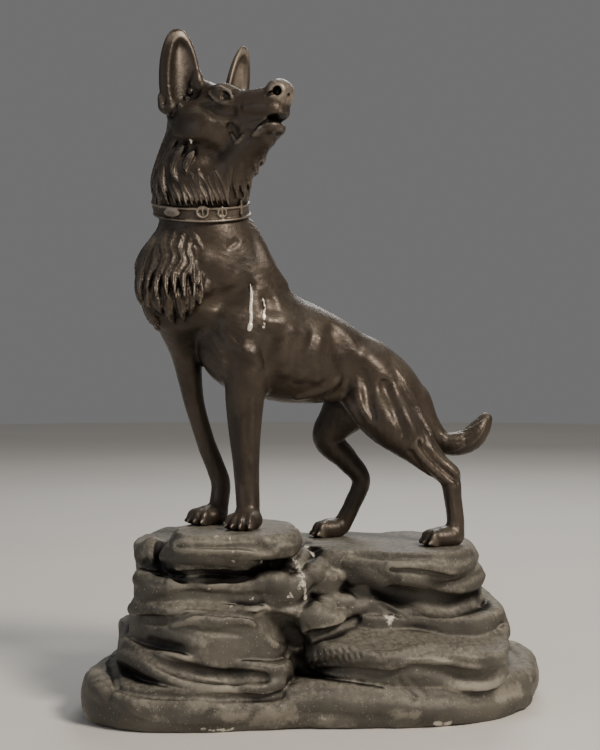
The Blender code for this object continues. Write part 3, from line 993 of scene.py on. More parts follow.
@dataclass
class Head:
    """Skull, muzzle, eyes, nose, mouth and ears."""

    def masses(self) -> list[Form]:
        """Return the head's main masses.

        Returns:
            The masses, largest first.
        """
        forms: list[Form] = [
            Mass(2.0, HEAD(1.0, 0, -3.8), (7.6, 6.4, 6.4), MUZZLE_WAY, CROWN_WAY),
            Limb(1.5, [(HEAD(9.0, 0, -5.1), 4.6), (HEAD(14.6, 0, -4.8), 3.8), (HEAD(19.0, 0, -4.6), 3.3)]),
            Limb(1.25, [(HEAD(7.6, 0, -9.6), 3.6), (HEAD(14.6, 0, -8.8), 2.8), (HEAD(18.7, 0, -8.1), 2.3)]),
        ]
        for side in (each.value for each in Side):
            forms += [
                Mass(2.0, HEAD(3.5, side * 3.5, -7.8), (6.1, 3.6, 4.8), MUZZLE_WAY, CROWN_WAY),
                Mass(2.0, HEAD(7.4, side * 2.6, -1.6), (2.6, 1.8, 1.6), MUZZLE_WAY, CROWN_WAY),
                Limb(1.5, [(HEAD(9.6, side * 3.5, -4.3), 1.5), (HEAD(1.0, side * 5.6, -4.8), 1.8)]),
            ]
        return forms

    def ears(self) -> list[Form]:
        """Return the two ears and the far one's burr.

        Returns:
            The ears and the burr.
        """
        return [
            Ear(1.4, HEAD(0.4, -5.8, -2.2), HEAD(1.0, -7.6, 12.4), HEAD.way(0.78, -0.62, 0)),
            Ear(1.2, HEAD(4.2, 6.0, -2.4), HEAD(5.8, 7.6, 11.6), HEAD.way(0.93, 0.12, 0), 3.7, aside=-0.1),
            Mass(1.2, HEAD(3.4, 6.4, -3.0), (2.2, 1.9, 2.4), MUZZLE_WAY, CROWN_WAY),
        ]

    def ear_folds(self, eared: Solid) -> list[Form]:
        """Return the near ear's pocket, root and tufts, set on the skin with its ears.

        Args:
            eared: The figure with its ears.

        Returns:
            The folds and tufts.
        """
        folds: list[Form] = [
            ridge(eared, EAR_ROOT, (1.0, 1.3, 1.4, 0.9), 0.6, 1.2),
            ridge(eared, EAR_POCKET, (0.7, 1.0, 0.8), 0.25, 0.4),
            furrow(eared, EAR_SLIT, (0.25, 0.4, 0.2), 0.2, 0.3),
            ridge(eared, EAR_SEAM, (0.9, 1.0, 0.7), 0.45, 0.9),
        ]
        for spot, size in zip(along(eared, EAR_TUFTS, -0.1), (0.95, 0.8, 0.7, 0.55)):
            folds.append(
                Mass(0.35, spot, (size, size * 0.7, size * 0.8), HEAD.way(0.3, 0.0, 1.0), MUZZLE_WAY)
            )
        return folds

    def eye(self, skin: Solid) -> list[Form]:
        """Return the near eye: socket, ball, pupil and lids.

        Args:
            skin: The bare figure.

        Returns:
            The eye's forms, deepest first.
        """
        outer, inner = (HEAD.local(spot) for spot in along(skin, EYE_CORNERS))
        middle = (outer + inner) / 2
        slit = unit(inner - outer)
        outward = np.array([0.30, -0.90, 0.30])
        out = unit(outward - slit * (slit @ outward))
        up = np.cross(out, slit)
        if up[2] < 0:
            up = -up
        half = np.linalg.norm(inner - outer) / 2

        def spot(share: float, over: float, proud: float) -> Array:
            """Place at a share of the slit from its middle, over it and proud of it, in parts."""
            return HEAD(*(middle + slit * share * half + up * over + out * proud))

        way, away = HEAD.way(*slit), HEAD.way(*out)
        upper = [(spot(-1.3, 0.0, 0.0), 0.26), (spot(-0.6, 1.35, 0.45), 0.28), (spot(0.0, 1.65, 0.35), 0.36)]
        upper += [(spot(0.6, 1.3, 0.2), 0.34), (spot(1.15, -0.25, -0.3), 0.3)]
        lower = [
            (spot(-1.3, 0.0, 0.0), 0.26), (spot(-0.55, -0.85, 0.2), 0.32), (spot(0.15, -1.1, 0.05), 0.42)
        ]
        lower += [(spot(0.7, -0.78, -0.15), 0.45), (spot(1.15, -0.25, -0.35), 0.3)]
        return [
            Mass(0.45, spot(-0.3, 0.2, 0.95), (half * 1.2, 1.4, 1.75), way, away, cut=True),
            Mass(0.1, spot(-0.2, 0.2, -1.4), (2.3, 1.8, 1.65), way, away),
            Mass(0.1, spot(0.2, 0.3, 0.3), (0.85, 0.8, 0.75), way, away, cut=True),
            Limb(0.35, upper, 4),
            Limb(0.35, lower, 4),
        ]

    def features(self, skin: Solid) -> list[Form]:
        """Return the features of the face, set on the bare skin.

        Args:
            skin: The bare figure.

        Returns:
            The features of both sides.
        """
        near = [
            ridge(skin, CHEEKBONE, (0.9, 1.2, 0.8), 0.55, 1.2),
            furrow(skin, UNDER_EYE, (0.6, 1.15, 0.9), 0.35, 1.3),
            Mass(1.6, along(skin, [CHEEK], 0.9)[0], (4.2, 2.0, 3.2), MUZZLE_WAY, CROWN_WAY),
            ridge(skin, BROW, (0.7, 1.5, 1.4, 0.9), 0.3, 0.8),
            ridge(skin, UPPER_LIP, (0.8, 1.35, 1.3, 0.9), 0.55, 0.9),
            *self.eye(skin),
            ridge(skin, LOWER_LIP, (0.6, 1.25, 1.45, 0.9), 0.35, 0.5),
            furrow(skin, MOUTH, (0.55, 0.5, 0.36, 0.3, 0.34, 0.42), 0.25, 0.35),
            furrow(skin, MOUTH_CORNER, (0.5, 0.9, 0.6), 0.45, 1.0),
            ridge(skin, CORNER_FOLD, (0.25, 0.42, 0.3), 0.5, 0.5),
        ]
        forms = [*near, *(mirrored(form) for form in near)]
        forms.append(furrow(skin, UNDER_CHEEK, (0.8, 1.4, 1.2), 0.5, 2.4))
        forms.append(Mass(0.5, HEAD(20.6, 0, -2.6), (2.6, 3.0, 2.4), MUZZLE_WAY, CROWN_WAY))
        forms.append(Mass(0.4, HEAD(20.9, 0, -8.1), (2.6, 2.7, 0.8), MUZZLE_WAY, CROWN_WAY, cut=True))
        for side in (each.value for each in Side):
            hole = HEAD(21.6, side * 2.0, -3.2)
            way = HEAD.way(0.62, side * 0.78, -0.05)
            forms += [
                Ring(0.8, hole, way, 1.15, 0.36),
                Mass(0.25, hole, (1.5, 0.82, 0.92), way, CROWN_WAY, cut=True),
                Limb(
                    0.25,
                    [(HEAD(20.9, side * 2.75, -3.6), 0.42), (HEAD(19.7, side * 3.0, -4.0), 0.2)],
                    3,
                    cut=True,
                ),
            ]
        forms.append(Limb(0.3, [(HEAD(22.7, 0, -3.6), 0.28), (HEAD(22.0, 0, -6.9), 0.3)], 3, cut=True))
        return forms


# Places in the picture, as (column, row), that the features of the near side lie along

EYE_CORNERS = ((212.5, 95.0), (231.5, 100.5))
BROW = ((214, 90), (221, 86), (230, 85.5), (236, 90))
CHEEKBONE = ((200, 120), (210, 120), (220, 121), (230, 124))
UNDER_EYE = ((201, 108), (210, 110), (220, 112), (231, 112))
CHEEK = (190, 126)
UNDER_CHEEK = ((178, 146), (192, 150), (208, 154))
UPPER_LIP = ((246, 108), (256, 107), (268, 109), (279, 112))
LOWER_LIP = ((254, 134), (262, 129.5), (270, 127), (277, 127))
MOUTH = ((283, 118), (273, 119), (263, 123.5), (254, 131), (245, 131), (237, 136))
MOUTH_CORNER = ((231, 126), (234, 132), (236, 138))
CORNER_FOLD = ((231, 134), (236, 141), (243, 136))
EAR_ROOT = ((202, 76), (206, 81), (211, 87), (217, 91))
EAR_POCKET = ((160, 97), (158.5, 106), (163, 114))
EAR_SLIT = ((165, 98), (165, 104), (166, 110))
EAR_SEAM = ((168, 108), (170, 116), (173, 124))
EAR_TUFTS = ((193, 84), (190, 92), (180, 106), (186, 99))

# Places in the picture along folds, hollows and edges of the trunk and legs

CREST = ((253, 226), (262, 246), (270, 265), (284, 283))
SHOULDER_POINT = ((206, 262), (218, 270), (228, 280))
SHOULDER_SHADE = ((203, 299), (218, 301), (234, 297), (246, 285))
SHOULDER_DIMPLE = ((230, 246), (236, 242))
ARM_FOLD = ((205, 333), (212, 339), (219, 350), (224, 362))
ARM_CREASE = ((225, 330), (233, 335), (240, 343))
ARM_EDGE = ((268, 300), (272, 320), (270, 340), (262, 362))
ELBOW = ((244, 351), (252, 356), (258, 364))
RIB_PATCH = ((272, 322), (286, 324), (296, 330))
RIB_LINES = (
    ((290, 334), (284, 352), (285, 372)),
    ((305, 334), (299, 354), (301, 376)),
    ((319, 340), (314, 358), (317, 378)),
)
FLANK_HOLLOW = ((334, 334), (341, 348), (347, 366), (349, 380))
FLANK_FOLD = ((298, 398), (314, 394), (328, 388), (341, 379), (350, 372))
STIFLE_FOLD = ((326, 398), (340, 398), (350, 408), (358, 421))
THIGH_RIDGE = ((351, 372), (356, 388), (362, 402), (368, 416))
THIGH_GROOVE = ((364, 372), (367, 388), (369, 404), (373, 416))
THIGH_HIP = ((370, 360), (378, 368), (384, 378))
THIGH_BACK_GROOVE = ((384, 384), (392, 400), (398, 416), (404, 432))
THIGH_BACK = ((396, 392), (404, 408), (411, 424), (418, 440))
HOCK_GROOVES = (
    ((411, 452), (421, 466), (433, 479)),
    ((419, 442), (430, 458), (444, 470), (457, 482)),
)
HOCK_RIDGES = (
    ((414, 446), (426, 462), (440, 476), (452, 484)),
    ((424, 432), (434, 452), (446, 464), (457, 474)),
)
SHANK_EDGES = (
    ((450, 490), (452, 508), (452, 524)),
    ((241, 420), (243, 450), (244, 480)),
    ((252, 400), (252, 440), (253, 480)),
)

# Places in the picture of the collar's ring, loop, plate and keeper

COLLAR_PLACES = ((202.5, 212.5), (221.0, 212.5), (174.0, 212.0), (238.0, 206.0))

# White runs of dried paint or lime as places in the picture, with half widths in parts

WHITE_RUNS = (
    (((250.5, 284), (251.5, 296), (250.8, 308), (251.2, 318), (250, 327)), 0.17),
    (((250.4, 325), (249.6, 329)), 0.36),
    (((263, 298), (265, 307), (264, 316), (264.5, 322), (263.5, 327)), 0.19),
    (((190, 131), (190.5, 138)), 0.08),
    (((190.6, 139), (191, 143)), 0.22),
)

# Locks as places in the picture, with half widths and heights in parts. A place of the fringe adds its
# pitch from lock to lock and its swing, one of the tail how far it follows the lock's shift

RUFF_LOCKS = (
    (((150, 286), (148, 296), (152, 307)), 1.0, 1.0),
    (((156, 290), (158, 301), (164, 312)), 1.1, 1.2),
    (((168, 292), (169, 306), (175, 322)), 1.2, 1.5),
    (((179, 290), (181, 304), (185, 320)), 1.1, 1.4),
    (((189, 288), (191, 301), (189, 314)), 1.0, 1.1),
    (((198, 284), (199, 294), (199, 305)), 0.9, 0.8),
    (((160, 223), (153, 236), (147, 252), (143, 270), (142, 288), (146, 303)), 1.35, 1.2),
    (((163, 234), (156, 250), (155, 264), (150, 280), (150, 300)), 0.95, 1.2),
    (((168, 228), (162, 244), (164, 258), (160, 274), (158, 290), (163, 306)), 1.05, 1.4),
    (((175, 232), (170, 246), (173, 258), (168, 272), (167, 286), (170, 300)), 1.05, 1.5),
    (((183, 234), (178, 248), (181, 260), (175, 272), (175, 286), (178, 301)), 1.1, 1.6),
    (((190, 238), (187, 252), (190, 264), (183, 276), (184, 290), (186, 303)), 1.05, 1.5),
    (((184, 228), (194, 237), (203, 250)), 0.7, 0.6),
    (((194, 246), (196, 258), (193, 270), (194, 284), (193, 300)), 1.0, 1.3),
    (((201, 254), (201, 268), (200, 282), (202, 296)), 0.95, 1.0),
)
RUFF_EDGE = ((147, 288), (160, 297), (178, 298), (194, 294), (204, 290))
RUFF_SHADE = ((162, 320), (178, 324), (194, 318), (206, 308))
NAPE_LOCKS = (
    (((172, 130), (164, 143), (157, 158), (154, 176), (156, 200)), 1.3, 1.1),
    (((175, 140), (167, 152), (163, 166), (165, 184), (170, 204)), 1.2, 1.2),
    (((166, 162), (160, 174), (159, 188), (163, 205)), 0.9, 1.0),
    (((183, 146), (176, 158), (174, 170), (178, 182)), 1.0, 0.9),
    (((193, 152), (187, 163), (187, 174)), 0.9, 0.7),
)
FRINGE_PLACES = ((165, 174, 5.2, 1), (170, 187, 5.2, -1), (175, 197, 5.1, 0), (178, 206, 5.0, 0))
THIGH_START, THIGH_RUN = (397, 370), (27, 52)
THIGH_OUTER, THIGH_INNER = ((0, 0), (6, 8), (9, 18)), ((-8, 6), (-3, 15), (-2, 25))
TAIL_ROOT = ((443, 440, 1.0), (450, 442, 1.0), (458, 441, 1.0), (467, 439, 1.0))
TAIL_END = ((456, 441, 1.0), (468, 437, 1.0), (478, 430, 0.7), (486, 420, 0.3))
THROAT_LOCKS = (
    (((268, 148), (263, 156), (262, 167)), 0.9, 0.9),
    (((262, 155), (256, 164), (255, 176)), 0.9, 0.9),
    (((256, 164), (249, 176), (248, 190)), 1.0, 0.9),
    (((248, 172), (243, 184), (243, 196)), 0.9, 0.8),
    (((240, 164), (236, 180), (236, 197)), 0.9, 0.7),
    (((230, 168), (227, 184), (228, 201)), 0.8, 0.7),
)


@dataclass
class Trunk:
    """Barrel, neck, throat and fore chest."""

    squeeze_way: Trio = (-0.34, 0.94, 0.0)
    squeeze_middle: Trio = (-2.8, -5.1, 35.7)
    squeeze: float = 0.82

    def features(self, skin: Solid) -> list[Form]:
        """Return the shoulder, ribs and skin folds of the near side.

        Args:
            skin: The bare figure.

        Returns:
            The ridges and furrows.
        """
        forms: list[Form] = [
            ridge(skin, CREST, (1.0, 1.5, 1.5, 1.0), 0.62, 1.8),
            ridge(skin, SHOULDER_POINT, (2.4, 3.0, 2.4), 0.74, 2.4),
            furrow(skin, SHOULDER_SHADE, (1.0, 1.6, 1.5, 0.9), 0.6, 2.0),
            furrow(skin, SHOULDER_DIMPLE, (0.4, 0.4), 0.3, 0.8),
            ridge(skin, ARM_FOLD, (0.6, 0.9, 0.9, 0.6), 0.4, 0.9),
            furrow(skin, ARM_CREASE, (0.3, 0.5, 0.3), 0.4, 0.8),
            furrow(skin, ARM_EDGE, (0.8, 1.3, 1.2, 0.8), 0.6, 2.2),
            ridge(skin, RIB_PATCH, (1.6, 2.0, 1.6), 0.75, 2.0),
            ridge(skin, FLANK_FOLD, (0.6, 0.85, 1.0, 0.9, 0.5), 0.45, 1.1),
        ]
        forms += [ridge(skin, line, (0.8, 1.1, 0.8), 0.72, 1.8) for line in RIB_LINES]
        return forms

    def ruff(self, rough: Solid) -> list[Form]:
        """Return the ruff's bulging lower edge and the shade under it.

        Args:
            rough: The masses alone.

        Returns:
            The edge and its shade.
        """
        return [
            ridge(rough, RUFF_EDGE, (2.2, 2.9, 2.9, 2.4, 1.4), 0.6, 2.0),
            furrow(rough, RUFF_SHADE, (1.4, 2.2, 2.0, 1.0), 0.4, 1.8),
        ]

    def masses(self) -> list[Form]:
        """Return the trunk's main masses.

        Returns:
            Barrel, neck, throat and chest.
        """
        barrel = [
            ((20.8, -0.3, 23.8), 3.6),
            ((16.7, -1.0, 27.5), 5.8),
            ((11.9, -2.0, 31.4), 6.3),
            ((6.6, -3.0, 33.0), 7.3),
            ((0.8, -4.3, 34.2), 9.5),
            ((-5.9, -6.1, 35.9), 11.0),
            ((-12.6, -8.3, 38.2), 11.2),
        ]
        column = [
            ((-12.6, -8.3, 38.2), 10.2),
            ((-15.4, -9.6, 50.0), 8.4),
            ((-20.4, -10.6, 57.0), 9.0),
            ((-23.0, -11.1, 63.9), 8.5),
            ((-23.4, -11.6, 67.7), 8.7),
            ((-22.5, -12.1, 72.1), 8.7),
            ((-21.9, -13.1, 77.0), 8.0),
        ]
        throat = [
            (HEAD(16.5, 0, -10.8), 2.5),
            ((-12.8, -21.4, 75.4), 3.4),
            ((-16.2, -17.6, 71.6), 4.4),
            ((-18.6, -14.8, 67.8), 5.4),
        ]
        fore = [((-32.0, -12.9, 49.5), 3.2), ((-30.4, -14.0, 46.0), 3.0), ((-27.6, -14.6, 42.8), 2.2)]
        ahead = (-0.8, -0.6, 0)
        body = Limb(2.5, barrel, narrow_way=self.squeeze_way, narrow=self.squeeze)
        body.centre = np.array(self.squeeze_middle)
        return [
            body,
            Limb(3.0, column),
            Limb(2.3, throat),
            Mass(3.0, (-28.0, -13.1, 52.0), (7.0, 7.9, 8.0), ahead),
            Mass(3.0, (-25.4, -12.6, 46.8), (8.2, 8.4, 7.8), ahead),
            Limb(2.0, fore),
        ]


@dataclass
class Paw:
    """A paw above its flat sole: a low pad and a fan of four toes with claws."""

    sole: Trio
    length: float
    width: float
    way: tuple[float, float]
    toes: int = 4
    fan: float = 0.80

    def masses(self) -> list[Form]:
        """Return the pad and the toes.

        Returns:
            The pad, then each toe with its claw.
        """
        ahead = unit((*self.way, 0.0))
        beside = np.array([-ahead[1], ahead[0], 0.0])
        ground = np.array(self.sole, float)
        pad = (self.length * 0.86, self.width * 0.92, 2.3)
        forms: list[Form] = [Mass(1.0, ground + (0, 0, 1.6), pad, ahead)]
        for k in range(self.toes):
            share = 2.0 * k / (self.toes - 1) - 1.0
            angle = self.fan * share / 2.0
            turned = ahead * np.cos(angle) + beside * np.sin(angle)
            reach = self.length * (0.5 + 0.16 * (1.0 - abs(share)))
            spot = ground + ahead * reach + beside * self.width * 0.53 * share
            forms += [
                Mass(0.45, spot + (0, 0, 1.35), (self.length * 0.42, self.width * 0.28, 1.9), turned),
                Mass(
                    0.2,
                    spot + turned * self.length * 0.36 + (0, 0, 0.95),
                    (0.95, 0.38, 0.5),
                    turned - (0, 0, 0.35),
                ),
            ]
        return forms


@dataclass
class Legs:
    """The four legs, with paws flat on the stand and the ledge."""

    near_fore_paw: Trio = (-13.6, -15.6, 0.0)
    far_fore_paw: Trio = (-21.3, -7.6, 0.0)
    near_hind_paw: Trio = (26.7, -9.3, -HIND_DROP)
    far_hind_paw: Trio = (3.8, 3.8, -HIND_DROP)

    def features(self, skin: Solid) -> list[Form]:
        """Return the muscles, tendons and folds of the near legs.

        Args:
            skin: The bare figure.

        Returns:
            The ridges and furrows.
        """
        forms: list[Form] = [
            ridge(skin, ELBOW, (1.2, 1.5, 1.1), 0.6, 1.4),
            ridge(skin, STIFLE_FOLD, (0.8, 1.1, 1.1, 0.8), 0.55, 1.4),
            ridge(skin, THIGH_RIDGE, (0.9, 1.2, 1.1, 0.7), 0.55, 1.5),
            furrow(skin, THIGH_GROOVE, (0.6, 0.9, 0.8, 0.5), 0.5, 1.4),
            ridge(skin, THIGH_HIP, (1.6, 2.0, 1.5), 0.72, 2.2),
            furrow(skin, THIGH_BACK_GROOVE, (0.6, 1.0, 0.9, 0.6), 0.55, 1.8),
            ridge(skin, THIGH_BACK, (0.9, 1.2, 1.1, 0.8), 0.6, 1.4),
            furrow(skin, FLANK_HOLLOW, (1.2, 2.0, 1.8, 1.0), 0.62, 2.6),
        ]
        forms += [furrow(skin, line, (0.3, 0.6, 0.4), 0.35, 0.9) for line in HOCK_GROOVES]
        forms += [ridge(skin, line, (0.5, 0.8, 0.7, 0.5), 0.4, 0.8) for line in HOCK_RIDGES]
        forms += [ridge(skin, line, (0.5, 0.7, 0.5), 0.6, 0.9) for line in SHANK_EDGES]
        return forms

    def fore(self) -> list[Form]:
        """Return the fore legs: the near one straight, the far one reaching forward and inward.

        Returns:
            The legs' masses and paws.
        """
        near = [
            ((-15.8, -14.6, 41.0), 4.2),
            ((-13.6, -14.2, 31.6), 4.5),
            ((-13.9, -13.6, 25.7), 3.9),
            ((-13.9, -13.4, 19.7), 3.3),
            ((-13.7, -13.1, 13.6), 2.75),
            ((-13.5, -13.1, 9.1), 2.5),
            ((-13.3, -13.6, 4.6), 2.4),
            ((-13.4, -14.4, 2.2), 2.3),
        ]
        far = [
            ((-27.2, -10.6, 42.3), 5.0),
            ((-26.2, -7.6, 35.7), 3.3),
            ((-25.5, -6.1, 29.9), 2.5),
            ((-24.7, -5.6, 25.0), 2.1),
            ((-23.7, -5.3, 21.2), 1.95),
            ((-22.1, -5.1, 16.0), 1.9),
            ((-20.2, -5.1, 11.2), 1.95),
            ((-19.2, -5.1, 7.7), 2.0),
            ((-19.6, -5.9, 3.4), 2.0),
        ]
        return [
            Mass(2.5, (-14.4, -13.6, 43.0), (8.6, 4.6, 3.6), (0.32, 0.42, 1.4), (0, -1, 0)),
            Limb(1.5, near),
            Limb(1.5, far),
            *Paw(self.near_fore_paw, 4.5, 3.5, (-0.4, -0.9)).masses(),
            *Paw(self.far_fore_paw, 4.6, 3.4, (-0.75, -0.65)).masses(),
        ]

    def hind(self) -> list[Form]:
        """Return the hind legs: the near one braced back, the far one drawn under the belly.

        Returns:
            The legs' masses and paws.
        """
        near = [
            ((10.6, -5.6, 24.3), 4.0),
            ((15.8, -7.0, 20.7), 5.0),
            ((20.7, -7.6, 15.9), 3.4),
            ((24.8, -7.8, 12.0), 2.4),
            ((27.9, -7.8, 9.4), 2.15),
            ((28.7, -8.1, 4.9), 1.8),
            ((29.2, -8.1, 0.8), 1.8),
            ((29.0, -8.5, -2.2), 2.0),
        ]
        tendon = [
            ((20.8, -5.6, 21.2), 2.2),
            ((23.4, -6.8, 17.2), 1.5),
            ((26.2, -7.6, 13.3), 1.2),
            ((28.6, -7.8, 10.4), 1.5),
        ]
        far = [
            ((6.8, 3.5, 22.6), 4.5),
            ((3.2, 4.3, 17.0), 3.3),
            ((7.1, 4.8, 12.3), 2.5),
            ((10.3, 5.1, 7.8), 2.0),
            ((8.4, 5.1, 2.4), 1.8),
            ((6.3, 4.8, -1.7), 1.9),
        ]
        return [
            Mass(2.5, (14.2, -4.8, 25.8), (9.6, 3.9, 7.0), (7.3, -2.1, -14.4), (0.85, 0.1, -0.5)),
            Mass(2.5, (8.6, 2.3, 24.8), (7.6, 5.4, 3.6), (-9.5, 2.5, -12.0), (0, -1, 0)),
            Limb(1.5, near),
            Limb(1.0, tendon),
            Limb(1.5, far),
            *Paw(self.near_hind_paw, 4.6, 2.9, (-0.94, -0.34)).masses(),
            *Paw(self.far_hind_paw, 4.0, 2.6, (-0.94, -0.34)).masses(),
        ]


@dataclass
class Tail:
    """The bushy tail, carried down and curled up at its end."""

    stations: tuple[tuple[Spot, float], ...] = (
        ((21.4, 0.0, 24.8), 3.4),
        ((24.3, 0.5, 19.4), 2.7),
        ((27.0, 0.8, 16.4), 2.4),
        ((30.2, 1.0, 15.8), 2.5),
        ((33.2, 1.3, 16.8), 2.6),
        ((35.3, 1.5, 18.9), 2.2),
        ((36.6, 1.8, 21.0), 1.4),
    )

    def masses(self) -> list[Form]:
        """Return the tail's core."""
        return [Limb(1.5, self.stations)]


@dataclass
class Soles(Form):
    """Flat soles: nothing of the fore half goes below the stand, or of the hind half below the ledge."""

    def box(self) -> tuple[Array, Array]:
        """Return the corners of the room that holds every paw."""
        return np.array([-60.0, -60.0, -20.0]), np.array([60.0, 60.0, 4.0])

    def apply(self, points: Array, before: Array) -> Array:
        """Cut the field level with the soles."""
        level = np.where(points[:, 0] < STEP_AT, 0.0, -HIND_DROP)
        return np.maximum(before, level - points[:, 2])


@dataclass
class Hair(Form):
    """Short hair: noise drawn out along the way the coat lies."""

    seed: int = 11
    depth: float = 0.05
    length: float = 3.4
    width: float = 0.34
    way: Trio = (1.0, 0.0, -0.25)
    low: Trio = (-40.0, -40.0, -5.0)
    high: Trio = (40.0, 40.0, 60.0)

    def box(self) -> tuple[Array, Array]:
        """Return the corners of the coat's room."""
        return np.array(self.low), np.array(self.high)

    def apply(self, points: Array, before: Array) -> Array:
        """Raise and sink the field by the noise."""
        frame_rows = axes(self.way, (0.1, 0.9, 0.3)) / np.array([[self.length], [self.width], [self.width]])
        return before + self.depth * Noise(self.seed)(points @ frame_rows.T)


@dataclass
class Collar:
    """The collar, cast with the neck: a band with rolled edges, two rings, a keeper and a plate."""

    middle: Trio = (-23.0, -11.3, 64.6)
    tilt: float = np.radians(14.0)
    half_width: float = 1.45
    thickness: float = 0.5
    roll: float = 0.3

    def __post_init__(self) -> None:
        """Work out the band's own directions."""
        self.lean = np.array(Matrix.Rotation(self.tilt, 3, "X"))

    def height(self, points: Array) -> Array:
        """Return how far each place is above the band's middle."""
        return (points - np.array(self.middle)) @ self.lean[:, 2]

    def band(self, skin: Solid, points: Array) -> Array:
        """Distance to the band: a layer over the skin between two heights, each edge a round bead.

        Args:
            skin: The bare figure.
            points: Places.

        Returns:
            The distances.
        """
        height = np.abs(self.height(points))
        over = skin(points) - 0.1
        layer = soft_max(np.abs(over) - self.thickness, height - self.half_width, 0.15)
        bead = np.hypot(over - self.thickness, height - self.half_width + self.roll) - self.roll
        return soft_min(layer, bead, 0.12)

    def hardware(self, skin: Solid) -> Solid:
        """Return the rings, the keeper and the plain plate, set on the band.

        Args:
            skin: The bare figure.

        Returns:
            The fittings as one field.
        """
        spots = along(skin, COLLAR_PLACES, -self.thickness - 0.25)
        ways = unit_rows(skin.slope(spots, FACE))
        up = self.lean[:, 2]
        ring, loop, plate, keeper = spots
        forms: list[Form] = [
            Ring(0.15, ring, ways[0], 1.05, 0.3),
            Limb(0.1, [(ring - up * 0.9, 0.2), (ring + up * 0.9, 0.2)], 3),
            Ring(0.15, loop, ways[1], 0.85, 0.26),
            Limb(0.1, [(loop - up * 1.2, 0.24), (loop + up * 1.2, 0.24)], 3),
            Mass(0.15, plate, (2.0, 0.35, 0.95), np.cross(up, ways[2]), up),
            Limb(0.15, [(keeper - up * 1.3, 0.35), (keeper + up * 1.3, 0.35)], 3),
        ]
        return Solid(forms)


@dataclass(frozen=True)
class CastMesh:
    """The net's mesh in parts, and the most triangles a piece may have."""

    head_grain: float = 0.175
    body_grain: float = 0.27
    rock_grain: float = 0.32
    triangles: int = 190_000


CAST = CastMesh()


def make_mesh(name: str, knots: Array, faces: Array) -> bpy.types.Object:
    """Put a net of quads into the scene as a mesh object at the origin.

    Args:
        name: The object's name.
        knots: Places in metres.
        faces: Four knots for each face.

    Returns:
        The new object.
    """
    mesh = bpy.data.meshes.new(name)
    mesh.vertices.add(len(knots))
    mesh.vertices.foreach_set("co", knots.astype(np.float32).ravel())
    mesh.loops.add(faces.size)
    mesh.loops.foreach_set("vertex_index", faces.astype(np.int32).ravel())
    mesh.polygons.add(len(faces))
    mesh.polygons.foreach_set("loop_start", np.arange(0, faces.size, faces.shape[1], dtype=np.int32))
    mesh.update(calc_edges=True)
    mesh.validate()
    item = bpy.data.objects.new(name, mesh)
    bpy.context.scene.collection.objects.link(item)
    return item


def thinned(item: bpy.types.Object, triangles: int) -> bpy.types.Object:
    """Bring a mesh down to a number of triangles, where its surface bends least.

    Args:
        item: A mesh object.
        triangles: The most it may have.

    Returns:
        The same object.
    """
    faces = 2 * len(item.data.polygons)
    if faces > triangles:
        reduce = item.modifiers.new("thin", "DECIMATE")
        reduce.ratio = triangles / faces
        reduce.use_collapse_triangulate = True
        graph = bpy.context.evaluated_depsgraph_get()
        mesh = bpy.data.meshes.new_from_object(item.evaluated_get(graph))
        item.modifiers.clear()
        item.data = mesh
    item.data.shade_smooth()
    return item


def places_and_normals(item: bpy.types.Object) -> tuple[Array, Array]:
    """Read a mesh's vertex places and normals as arrays.

    Args:
        item: A mesh object.

    Returns:
        The places and the normals, one row to a vertex.
    """
    count = len(item.data.vertices)
    places, normals = np.empty(count * 3, np.float32), np.empty(count * 3, np.float32)
    item.data.vertices.foreach_get("co", places)
    item.data.vertex_normals.foreach_get("vector", normals)
    return places.reshape(-1, 3).astype(float), normals.reshape(-1, 3).astype(float)


def give_attribute(item: bpy.types.Object, name: str, values: Array) -> None:
    """Store one number for each vertex under a name that a material reads."""
    layer = item.data.attributes.new(name, "FLOAT", "POINT")
    layer.data.foreach_set("value", values.astype(np.float32))


# The materials darken the colour by this measure. That is painted shade in recesses, under overhangs and
# between parts, and partly the dark patina that such places keep.
def hollowness(distance: Measure, points: Array, normals: Array, reaches: Spot) -> Array:
    """Say how closed in each place is: how much sooner metal is met than along open air.

    Args:
        distance: The field.
        points: Vertex places.
        normals: Vertex normals.
        reaches: How far out it looks.

    Returns:
        0 in the open, 1 closed in.
    """
    total = np.zeros(len(points))
    for reach in reaches:
        total += np.clip(1.0 - distance(points + normals * reach) / reach, 0.0, 1.0)
    return total / len(reaches)


def sharpness(distance: Measure, points: Array, normals: Array, reaches: Spot) -> Array:
    """Say how proud each place stands: how thin the metal is behind it.

    Args:
        distance: The field.
        points: Vertex places.
        normals: Vertex normals.
        reaches: How far in it looks.

    Returns:
        0 on thick metal, 1 on an edge.
    """
    total = np.zeros(len(points))
    for reach in reaches:
        total += np.clip(1.0 + distance(points - normals * reach) / reach, 0.0, 1.0)
    return total / len(reaches)


def nearness(solid: Solid, places: Array, marks: Sequence) -> Array:
    """Return each place's distance to the nearest of some marks, given by picture places and widths.

    Args:
        solid: What the marks lie on.
        places: Vertex places.
        marks: Picture places and half widths.

    Returns:
        The distances, below zero on a mark.
    """
    nearest = np.full(len(places), FAR_OFF)
    for line, width in marks:
        path = Limb(0.1, [(spot, width) for spot in along(solid, line)], 3)
        nearest = np.minimum(nearest, path.distance(places))
    return nearest


